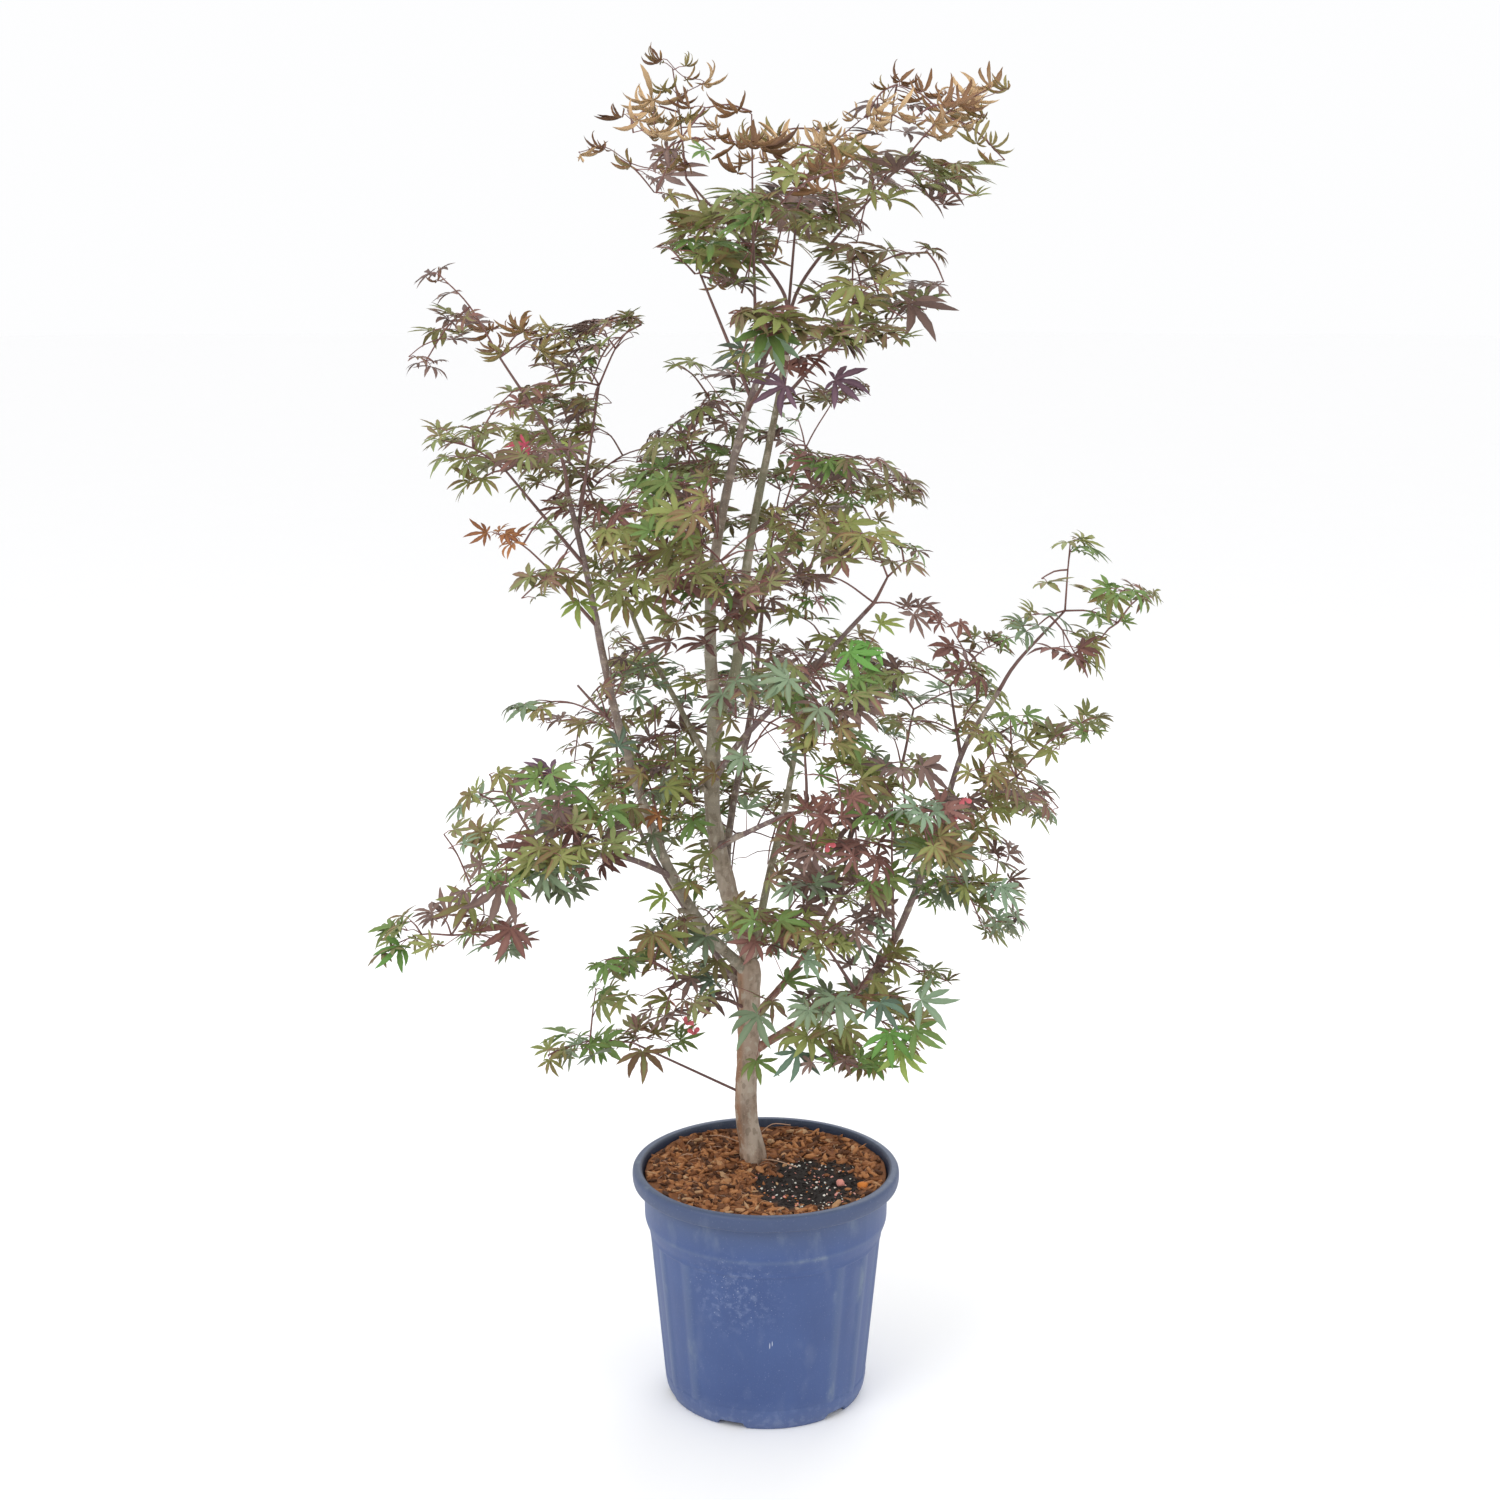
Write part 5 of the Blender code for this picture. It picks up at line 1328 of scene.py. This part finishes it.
# How many parts of each finish a family's sprays are dealt from. "crest" is for dry upper edges.
DEALS = {
    "top": {
        "purple_brown": 5, "olive": 5, "dark_olive": 5, "two_toned": 4, "maroon": 2, "dry_olive": 1,
        "green": 1,
    },
    "left": {
        "olive": 7, "two_toned": 5, "purple_brown": 4, "dark_olive": 4, "rust": 1, "maroon": 1, "green": 2,
    },
    "centre": {
        "dark_olive": 6, "olive": 7, "purple_brown": 4, "two_toned": 5, "pink_brown": 1, "maroon": 1,
        "green": 3,
    },
    "right": {
        "olive": 7, "two_toned": 5, "purple_brown": 2, "maroon": 1, "dark_olive": 3, "green": 4,
        "grey_green": 2,
    },
    "middle": {"olive": 6, "pink_brown": 2, "purple_brown": 3, "green": 4, "two_toned": 4, "grey_green": 3},
    "low": {
        "olive": 7, "purple_brown": 4, "two_toned": 5, "green": 4, "grey_green": 4, "maroon": 1, "sage": 2,
    },
    "bottom": {"grey_green": 5, "olive": 6, "green": 4, "two_toned": 3, "sage": 2, "purple_brown": 1},
    "crest": {"dry_tan": 6, "dry_brown": 7, "dry_olive": 6, "purple_brown": 1, "olive": 1},
}
# Masses whose upper edge is dry, and how deep the dry edge goes.
DRY_EDGES = with_full_names(
    {"top_left": 0.105, "top_front": 0.070, "top_right": 0.055, "top_back": 0.050, "left_tip": 0.018}
)


def draw_tint(name, spot, rng):
    """A finish from the family's list, drawn afresh for each small spray."""
    above = seen_from_front(spot[None]) + (0, DRY_EDGES.get(name, 0) * rng.uniform(0.5, 1.5))
    dry = name in DRY_EDGES and not in_view_outline(above)
    deal = DEALS["crest" if dry else family_of(name)]
    chances = np.array(list(deal.values())) / sum(deal.values())
    return list(deal)[rng.choice(len(deal), p=chances)]


print(len(TINTS), "leaf finishes")

# %% Hang a leaf
# Length of the middle lobe, in metres.
LEAF_SIZES = {"top": (0.030, 0.047), "right": (0.021, 0.034)}
OTHER_SIZES = (0.022, 0.036)
CREST_SIZES = (0.030, 0.049)
FRESH_SLIMNESS = (0.85, 1.25)
FRESH_BEND = (0.15, 0.80)
STALK_SHARE, STALK_RANGE = 0.55, (0.75, 1.25)
STALK_ARCH = 0.06
STALK_RADII = (0.00055, 0.0004)
PALM_GAP = 0.012
CREST_GAP = 0.025
LIMB_GAP = 0.002
# How far a leaf faces away from the plant's axis (tilt) and towards the front (lean), beside upwards.
EYE_LEVEL = 1.0
HIGH_TILT, HIGH_LEAN = (-0.15, 0.45), (-0.10, 0.45)
LOW_TILT, LOW_LEAN = (0.10, 0.75), (0.00, 0.75)
FACE_LOOSENESS = 0.30
# How far the leaves of a pair swing out, and how each further attempt is looser and shorter.
PAIR_SWING, SWING_LOOSENESS = (0.70, 1.25), 0.16
TURNS_TRIED, LOOSER, SHORTER = 8, 0.14, 0.05
PLANT_AXIS = np.array((-0.02, 0.03))

leaf_heaps = {}
twigs = Heap()


def is_dry(tint):
    return tint.startswith("dry")


def add_leaf(heap, palm, foot, length, frame, shape, tint, rng):
    """Adds one leaf's blade, and the stalk from its foot."""
    points = palm + leaf_blade(length, shape, rng) @ frame
    rib = (LEAF_SIDE == 0) * (1 - 0.5 * LEAF_RUN)
    edge = np.abs(LEAF_SIDE) / max(HALF_WIDTHS) * 0.75 + 0.45 * LEAF_RUN**3
    # Each lobe draws a number for its painted light and shade, and one for how far it has turned.
    lobe_marks = (np.clip(rng.uniform() + rng.normal(0, 0.20, len(LOBES)), 0, 1) for _ in range(2))
    shade, turned = (mark[LEAF_LOBE] for mark in lobe_marks)
    leaf_heaps.setdefault(heap, Heap()).add(
        points, LEAF_FACES, TINT_NAMES.index(tint), rib=rib, edge=edge, shade=shade, turned=turned
    )
    stalk = curve_through((foot, (foot + palm) / 2 + (0, 0, STALK_ARCH * length), palm), 0.008)
    twigs.add(*tube(stalk, np.linspace(*STALK_RADII, len(stalk)), 3), young=1.0)


def swung(heading, swing, rise):
    """The heading turned sideways by the swing, with a rise of its own."""
    c, s = math.cos(swing), math.sin(swing)
    return np.array([heading[0] * c - heading[1] * s, heading[0] * s + heading[1] * c, rise])


def has_room(palm, tips, name, gap, palms, rng):
    """Whether a leaf is in its space, in view only where it may be, and clear of leaves and limbs."""
    seen = seen_from_front(tips)
    if palms.crowded(palm, gap) or not in_reach(tips, name):
        return False
    if not in_view_outline(seen) or in_window(seen, rng):
        return False
    return not hides_a_stem(tips, seen) and clear_of_limbs(tips, LIMB_GAP)


def fresh_shape(rng):
    return FRESH._replace(slim=rng.uniform(*FRESH_SLIMNESS), bend=rng.uniform(*FRESH_BEND))


def hang_leaf(foot, heading, side, name, palms, tint, rng):
    """Adds one leaf if there is room. side is -1 or 1 for a pair, and 0 for a leaf that points ahead."""
    outwards = unit(foot[:2] - PLANT_AXIS + 1e-6)
    flat = unit(heading[:2] / (np.linalg.norm(heading[:2]) + 1e-6) + 0.5 * outwards + 1e-6)
    dry = is_dry(tint)
    sizes = CREST_SIZES if dry else LEAF_SIZES.get(family_of(name), OTHER_SIZES)
    for attempt in range(TURNS_TRIED):
        swing = side * rng.uniform(*PAIR_SWING) + rng.normal(0, SWING_LOOSENESS + LOOSER * attempt)
        outward = unit(swung(flat, swing, 0.30 * heading[2] + rng.normal(0.06, 0.14)))
        length = rng.uniform(*sizes) * (1 - SHORTER * attempt)
        palm = foot + outward * length * STALK_SHARE * rng.uniform(*STALK_RANGE)
        high = palm[2] > EYE_LEVEL
        tilt = rng.uniform(*(HIGH_TILT if high else LOW_TILT))
        lean = rng.uniform(*(HIGH_LEAN if high else LOW_LEAN))
        face = np.array([*(outwards * tilt + (0, -lean) + rng.normal(0, FACE_LOOSENESS, 2)), 1.0])
        frame = leaf_frame(outward, face)
        shape = DRY if dry else fresh_shape(rng)
        tips = palm + (leaf_blade(length, shape, np.random.default_rng(0)) @ frame)[TIPS]
        if has_room(palm, tips, name, CREST_GAP if dry else PALM_GAP, palms, rng):
            palms.add(palm)
            add_leaf(family_of(name), palm, foot, length, frame, shape, tint, rng)
            return True
    return False


print("the middle lobes are drawn from", LEAF_SIZES, "or", OTHER_SIZES, "m")

# %% Leading shoots
# Long shoots that reach out of a mass, by where they end. The random places come after them.
LEADS = with_full_names({
    "top_left": ((-0.089, -0.030, 1.350), (-0.130, -0.050, 1.311), (-0.172, -0.030, 1.279)),
    "top_front": ((-0.015, -0.100, 1.306), (-0.057, -0.120, 1.308), (-0.103, -0.120, 1.232)),
    "top_right": ((0.212, 0.010, 1.335), (0.125, 0.030, 1.340), (0.227, 0.000, 1.268)),
    "top_back": ((0.094, 0.120, 1.312), (0.049, 0.140, 1.305), (-0.006, 0.120, 1.290)),
    "left_tip": ((-0.309, -0.050, 1.160), (-0.264, -0.050, 1.142), (-0.327, -0.040, 1.079)),
    "left_inner": ((-0.132, 0.020, 1.112), (-0.164, 0.030, 1.105)),
    "left_middle": ((-0.309, -0.080, 1.008), (-0.271, -0.090, 0.971)),
    "left_lower": ((-0.281, -0.060, 0.899), (-0.239, -0.060, 0.853)),
    "right_tip": (
        (0.262, -0.040, 0.822), (0.300, -0.050, 0.800), (0.345, -0.030, 0.826), (0.371, -0.030, 0.855),
        (0.296, -0.030, 0.905), (0.266, -0.040, 0.870), (0.326, -0.040, 0.810),
    ),
    "right_low": ((0.335, -0.030, 0.640), (0.316, -0.030, 0.728), (0.290, -0.050, 0.665)),
    "low_left_tip": ((-0.374, -0.060, 0.505), (-0.355, -0.060, 0.531), (-0.322, -0.050, 0.530)),
    "low_left_front": (
        (-0.285, -0.130, 0.585), (-0.199, -0.130, 0.590), (-0.160, -0.100, 0.650), (-0.170, -0.090, 0.600),
    ),
    "middle_front": ((-0.030, -0.100, 0.745), (-0.015, -0.120, 0.715)),
    "low_left_middle": ((-0.287, -0.020, 0.650), (-0.248, -0.010, 0.660)),
    "middle_left": ((-0.240, 0.020, 0.735), (-0.178, 0.020, 0.745)),
    "bottom_left": ((-0.226, 0.000, 0.368), (-0.188, 0.000, 0.380), (-0.175, 0.000, 0.440)),
    "centre_right": ((0.132, 0.020, 0.975), (0.141, 0.000, 0.945)),
    "centre_low_right": ((0.147, -0.070, 0.897), (0.133, -0.070, 0.845)),
    "low_right_tip": ((0.239, -0.010, 0.506), (0.249, 0.000, 0.540)),
    "low_right": ((0.141, -0.040, 0.398), (0.105, -0.050, 0.382)),
})
print(sum(len(ends) for ends in LEADS.values()), "leading shoots")

# %% Grow every mass
LEAVES_PER_SOLID_LEAF = 11.5
MOST_SITES = 90
PAIR_STEP = 0.027
FIRST_PAIR = 0.002
BARE_FOOT = 0.012
TWIG_RADIUS = 0.0011
SHOOT_RADIUS = 0.0007
TAPER = 0.4
SIDE_SHOOTS = 0.5
SIDE_SWING = (0.6, 1.0)
SIDE_LENGTH = (0.022, 0.045)
SIDE_ARCH = 0.003
wood_spots = []


def grow_shoot(line, name, palms, tint, rng, radius, branching):
    """A twig with pairs along it and an end leaf, or nothing if no leaf finds room."""
    path = curve_through(line, 0.008)
    run = run_along(path)
    heading = unit(path[-1] - path[-2])
    reached = run[-1] if hang_leaf(path[-1], heading, 0, name, palms, tint, rng) else 0
    place, pair = run[-1] - FIRST_PAIR, 0
    while place > BARE_FOOT:
        foot = spot_at(path, run, place)
        for side in (-1, 1):
            shoot = side_shoot(foot, heading, side, name, rng) if branching and pair else None
            if shoot is not None:
                own_tint = draw_tint(name, shoot[-1], rng)
                hung = grow_shoot(shoot, name, palms, own_tint, rng, SHOOT_RADIUS, False)
            else:
                hung = hang_leaf(foot, heading, side, name, palms, tint, rng)
            reached = max(reached, place) if hung else reached
        place -= PAIR_STEP * rng.uniform(0.8, 1.2)
        pair += 1
    if reached:
        kept = np.concatenate([path[run < reached - 0.001], spot_at(path, run, reached)[None]])
        thin = radius * (1 - TAPER * reached / run[-1])
        twigs.add(*tube(kept, np.linspace(radius, thin, len(kept)), 5), young=0.4)
        wood_spots.append(kept)
    return bool(reached)


def side_shoot(foot, heading, side, name, rng):
    """A short line out to one side, if the space there allows it."""
    if rng.uniform() > SIDE_SHOOTS:
        return None
    out = unit(swung(heading, side * rng.uniform(*SIDE_SWING), 0.3 * heading[2]) + 1e-6)
    end = foot + out * rng.uniform(*SIDE_LENGTH)
    middle = (foot + end) / 2 + (0, 0, SIDE_ARCH)
    spots = np.array([middle, end])
    if in_reach(spots, name) and in_view_outline(seen_from_front(spots)):
        return np.array([foot, middle, end])
    return None


def grow_mass(name, palms):
    """Grows one mass from its stem until it is full, and says how many leaves it has."""
    rng = np.random.default_rng([SEED, sorted(MASSES).index(name)])
    stem = stem_of(name)
    line = curve_through(stem, 0.010)
    thick = min(STEM_RADIUS, 0.85 * LIMBS[MASSES[name].limb].tip_radius + 0.0004) * STEM_SLIMNESS.get(name, 1)
    twigs.add(*tube(line, np.linspace(thick, TWIG_RADIUS, len(line)), 8), young=0.0)
    nodes, before = [stem[1], stem[2]], palms.count
    wanted = MASSES[name].leaves * LEAVES_PER_SOLID_LEAF * MASSES[name].fullness
    leads = [np.array(lead) for lead in LEADS.get(name, ())]
    for _ in range(MOST_SITES):
        if palms.count - before > wanted:
            break
        site = leads.pop(0) if leads else next_site(name, palms, rng)
        twig = None if site is None else twig_to(site, nodes, name)
        tint = None if twig is None else draw_tint(name, site, rng)
        if twig is None or not grow_shoot(twig, name, palms, tint, rng, TWIG_RADIUS, not is_dry(tint)):
            continue
        nodes += [twig[1], site]
    return palms.count - before


palms = Palms()
grown = {name: grow_mass(name, palms) for name in MASSES}
print(sum(grown.values()), "leaves, from", min(grown.values()), "to", max(grown.values()), "in a mass")

# %% [markdown]
# ## Leaves that stand out
# Some leaves are seen one by one: big purple ones before the leaders, pale ones low on the trunk, and large
# maroon ones at the left, face on. They are listed. Each is given by where it is seen on the upright
# plane and how deep it hangs, which way its middle lobe points as seen, how far it is turned from face on,
# its length and its finish. Its stalk runs from the nearest wood.

# %% Leaves set one by one
# Across and up as seen, depth, angle in degrees, turn in degrees, length in metres, and finish.
SINGLE_LEAVES = (
    (0.018, 1.055, -0.075, 215, 30, 0.036, "purple"), (0.066, 1.060, -0.075, -15, 35, 0.038, "purple"),
    (0.006, 1.100, -0.080, -80, 20, 0.038, "sage"), (-0.022, 1.088, -0.060, 195, 45, 0.034, "teal"),
    (0.137, 1.133, -0.020, -8, 45, 0.050, "purple_brown"), (-0.073, 1.078, 0.020, 205, 70, 0.032, "olive"),
    (-0.236, 0.997, -0.120, 200, 50, 0.020, "red"), (-0.188, 0.990, -0.110, 120, 50, 0.027, "lime"),
    (-0.186, 0.842, -0.110, -95, 45, 0.030, "lime"), (0.083, 0.792, -0.130, -50, 30, 0.036, "bright_green"),
    (0.113, 0.820, -0.120, 40, 50, 0.028, "lime"), (-0.096, 0.802, -0.090, 185, 60, 0.034, "pink_brown"),
    (-0.060, 0.800, -0.100, 200, 60, 0.034, "pink_brown"),
    (-0.026, 0.803, -0.100, -15, 62, 0.034, "pink_brown"), (-0.062, 0.496, -0.050, 235, 35, 0.034, "sage"),
    (-0.056, 0.450, -0.040, 205, 45, 0.032, "teal"), (-0.094, 0.490, -0.050, 150, 45, 0.034, "teal"),
    (-0.104, 0.538, -0.060, 190, 45, 0.028, "lime"), (-0.036, 0.503, -0.060, 95, 30, 0.030, "lime"),
    (0.128, 0.392, -0.110, -85, 25, 0.038, "bright_green"), (0.154, 0.396, -0.105, -60, 30, 0.038, "green"),
    (-0.376, 0.486, -0.070, 235, 30, 0.032, "bright_green"),
    (-0.272, 0.550, -0.130, -95, 25, 0.046, "purple_brown"),
    (-0.262, 0.505, -0.110, -105, 25, 0.042, "maroon"), (-0.238, 0.594, -0.130, 230, 35, 0.040, "maroon"),
    (-0.303, 0.532, -0.110, 215, 35, 0.040, "olive"), (-0.008, 0.412, -0.060, 245, 30, 0.042, "grey_green"),
    (-0.010, 0.362, -0.050, -80, 30, 0.030, "green"), (0.032, 0.372, -0.080, -90, 30, 0.036, "teal"),
    (0.072, 0.430, -0.100, -85, 25, 0.042, "grey_green"),
    (-0.128, 0.372, -0.060, -85, 40, 0.040, "dark_olive"), (0.020, 0.448, -0.080, 20, 55, 0.036, "green"),
    (-0.045, 0.746, -0.040, 235, 50, 0.029, "pink_brown"),
    (-0.057, 0.584, -0.020, 205, 40, 0.030, "two_toned"), (-0.074, 0.618, -0.020, -95, 40, 0.030, "green"),
    (-0.149, 0.695, -0.060, 75, 45, 0.029, "teal"), (-0.127, 0.668, -0.060, 200, 45, 0.029, "olive"),
    (-0.100, 0.654, -0.050, -25, 45, 0.028, "olive"), (-0.136, 0.632, -0.060, -95, 40, 0.029, "dark_olive"),
    (-0.116, 0.604, -0.050, -70, 35, 0.029, "grey_green"), (-0.078, 0.553, -0.040, -100, 45, 0.026, "olive"),
    (-0.020, 0.630, -0.020, 60, 40, 0.028, "grey_green"), (-0.052, 0.668, -0.020, 185, 50, 0.027, "olive"),
    (-0.093, 0.680, -0.040, -40, 50, 0.029, "dark_olive"), (-0.109, 0.624, -0.050, 205, 50, 0.027, "rust"),
    (0.018, 0.686, -0.040, 15, 50, 0.027, "grey_green"), (-0.032, 0.532, -0.050, -30, 45, 0.029, "olive"),
    (-0.004, 0.517, -0.060, 5, 50, 0.028, "olive"), (-0.050, 0.470, -0.050, -100, 35, 0.030, "dark_olive"),
    (0.010, 0.489, -0.060, -5, 45, 0.032, "grey_green"), (-0.101, 0.428, -0.050, 200, 45, 0.031, "olive"),
    (-0.078, 0.452, -0.050, 225, 35, 0.032, "purple_brown"),
    (-0.060, 0.430, -0.050, -55, 40, 0.030, "purple_brown"), (-0.177, 0.624, -0.120, -95, 40, 0.030, "olive"),
    (-0.196, 0.610, -0.125, 215, 45, 0.034, "maroon"), (-0.217, 0.668, -0.120, 150, 50, 0.034, "purple"),
    (0.104, 0.796, -0.125, -130, 35, 0.030, "bright_green"), (0.160, 0.428, -0.100, -20, 30, 0.040, "sage"),
    (0.118, 0.425, -0.110, -60, 30, 0.034, "teal"), (0.142, 0.372, -0.100, -100, 25, 0.034, "lime"),
    (-0.070, 0.760, -0.060, 190, 50, 0.028, "olive"), (-0.048, 0.700, -0.040, -20, 50, 0.026, "dark_olive"),
)


def behind_view(across, up, depth):
    """The place at that depth which is seen at (across, up) on the upright plane."""
    return EYE + (np.array((across, 0, up)) - EYE) * (depth - EYE[1]) / -EYE[1]


def nearest_wood(spot):
    """The nearest point of a limb's line or of a grown twig."""
    stock = np.concatenate([limb_spots, np.concatenate(wood_spots)])
    return stock[np.argmin(np.linalg.norm(stock - spot, axis=1))]


def seen_frame(palm, angle, turn):
    """Axes of a leaf whose middle lobe points at that angle as seen, turned from facing the camera."""
    back = unit(palm - EYE)
    right = unit(np.cross(back, (0, 0, 1)))
    above = np.cross(right, back)
    along = math.cos(math.radians(angle)) * right + math.sin(math.radians(angle)) * above
    face = -math.cos(math.radians(turn)) * back + math.sin(math.radians(turn)) * above
    return leaf_frame(along, face)


single_rng = np.random.default_rng(SEED)
for across, up, depth, angle, turn, length, tint in SINGLE_LEAVES:
    palm = behind_view(across, up, depth)
    frame = seen_frame(palm, angle, turn)
    foot = nearest_wood(palm - 0.5 * length * frame[1])
    add_leaf("single", palm, foot, length, frame, FRESH._replace(bend=0.5), tint, single_rng)
print(len(SINGLE_LEAVES), "leaves set by hand")

# %% [markdown]
# ## Dried shoots
# The longest shoots at the top have dried. Their leaves are small, curled up like claws, and hang one behind
# another against the sky, so each shoot is given by the places of its leaves, from the inside outwards.

# %% Dried shoots
# How deep each shoot hangs, and where its leaves are seen, across and up.
DRY_SHOOTS = (
    (-0.030, ((-0.075, 1.265), (-0.105, 1.260), (-0.130, 1.265), (-0.155, 1.280), (-0.180, 1.275))),
    (-0.050, ((-0.110, 1.290), (-0.135, 1.310))),
    (-0.040, (
        (-0.050, 1.300), (-0.080, 1.305), (-0.085, 1.325), (-0.060, 1.340), (-0.080, 1.345), (-0.095, 1.360),
    )),
    (0.020, ((0.105, 1.300), (0.120, 1.335), (0.145, 1.325))),
    (0.000, ((0.185, 1.300), (0.205, 1.310), (0.170, 1.330), (0.200, 1.325), (0.230, 1.335))),
)
CLAW_SIZES = (0.020, 0.030)
CLAW_TURNS = (60, 85)
CLAW_TINTS = ("dry_brown", "dry_tan", "dry_olive")
claw_rng = np.random.default_rng(SEED)
claws = 0
for depth, seen in DRY_SHOOTS:
    spots = [behind_view(across, up, depth) for across, up in seen]
    shoot = curve_through((nearest_wood(spots[0]), *spots), 0.006)
    twigs.add(*tube(shoot, np.linspace(SHOOT_RADIUS, 0.0004, len(shoot)), 5), young=0.4)
    for spot in spots:
        length = claw_rng.uniform(*CLAW_SIZES)
        palm = spot + (claw_rng.normal(0, 0.004), claw_rng.normal(0, 0.006), -0.002)
        angle = claw_rng.choice((0, 180)) + claw_rng.normal(0, 18)
        frame = seen_frame(palm, angle, claw_rng.uniform(*CLAW_TURNS))
        tint = CLAW_TINTS[claws % len(CLAW_TINTS)]
        add_leaf("single", palm, spot, length, frame, DRY, tint, claw_rng)
        claws += 1
print(claws, "claws on", len(DRY_SHOOTS), "dried shoots")

# %% [markdown]
# ## Winged keys
# A few of the maple's fruits still hang in the crown. Each is a pair of seeds, and each seed has one papery
# wing. They are pink red, so they show at once although they are hardly longer than a fingernail.

# %% Keys
# Places along a wing beside its length, and its half width at each in metres.
KEY_ROWS = ((0, 0.0008), (0.18, 0.0019), (0.32, 0.0016), (0.60, 0.0026), (0.85, 0.0023), (1, 0.0007))
KEY_LENGTH = 0.0085
KEY_SPREAD, KEY_TURN = 38, 20
# Across and up as seen, depth, and the angle in degrees.
KEYS = (
    (0.200, 0.642, -0.120, 20), (0.180, 0.625, -0.120, 60), (0.191, 0.628, -0.120, -30),
    (-0.083, 0.402, -0.060, 140), (-0.074, 0.391, -0.060, 190), (0.062, 0.594, -0.140, 40),
)
keys = Heap()


def add_key(spot, angle):
    """One pair of winged seeds and its stalk."""
    wing_points = []
    for run, half in KEY_ROWS:
        wing_points += [(share * half, run * KEY_LENGTH, 0.4 * half * (share == 0)) for share in (-1, 0, 1)]
    flat = np.array(wing_points)
    corners = [3 * row + column for row in range(len(KEY_ROWS) - 1) for column in (0, 1)]
    faces = [(a, a + 1, a + 4) for a in corners] + [(a, a + 4, a + 3) for a in corners]
    for side in (-1, 1):
        frame = seen_frame(spot, angle + side * KEY_SPREAD - 90, KEY_TURN)
        keys.add(spot + flat @ frame, faces, run=flat[:, 1] / KEY_LENGTH)
    foot = nearest_wood(spot)
    stalk = curve_through((foot, (foot + spot) / 2 + (0, 0, 0.002), spot), 0.006)
    keys.add(*tube(stalk, np.full(len(stalk), 0.0004), 3), run=0.0)


for across, up, depth, angle in KEYS:
    add_key(behind_view(across, up, depth), angle)
wing = Paint("key")
key_colour = wing.mix(wing.stored("run"), rgb(150, 60, 70), rgb(214, 84, 104))
key_colour = wing.mix(wing.noise(300) * 0.5, key_colour, rgb(226, 132, 128))
keys.make("keys", "foliage", [wing.finish(key_colour, 0.5)])

# %% Join the leaves and twigs
for part, heap in leaf_heaps.items():
    heap.make("leaves_" + part, "foliage", leaf_finishes, [name for name in NAMES if family_of(name) == part])

young_wood = Paint("young_wood")
twig_colour = young_wood.mix(young_wood.noise(60, 4), rgb(92, 66, 64), rgb(126, 92, 84))
twig_colour = young_wood.mix(young_wood.stored("young") * 0.6, twig_colour, rgb(146, 84, 76))
twig_relief = young_wood.bump(young_wood.noise(500, 3), 0.0005)
twigs.make("twigs", "foliage", [young_wood.finish(twig_colour, 0.55, twig_relief)], NAMES)
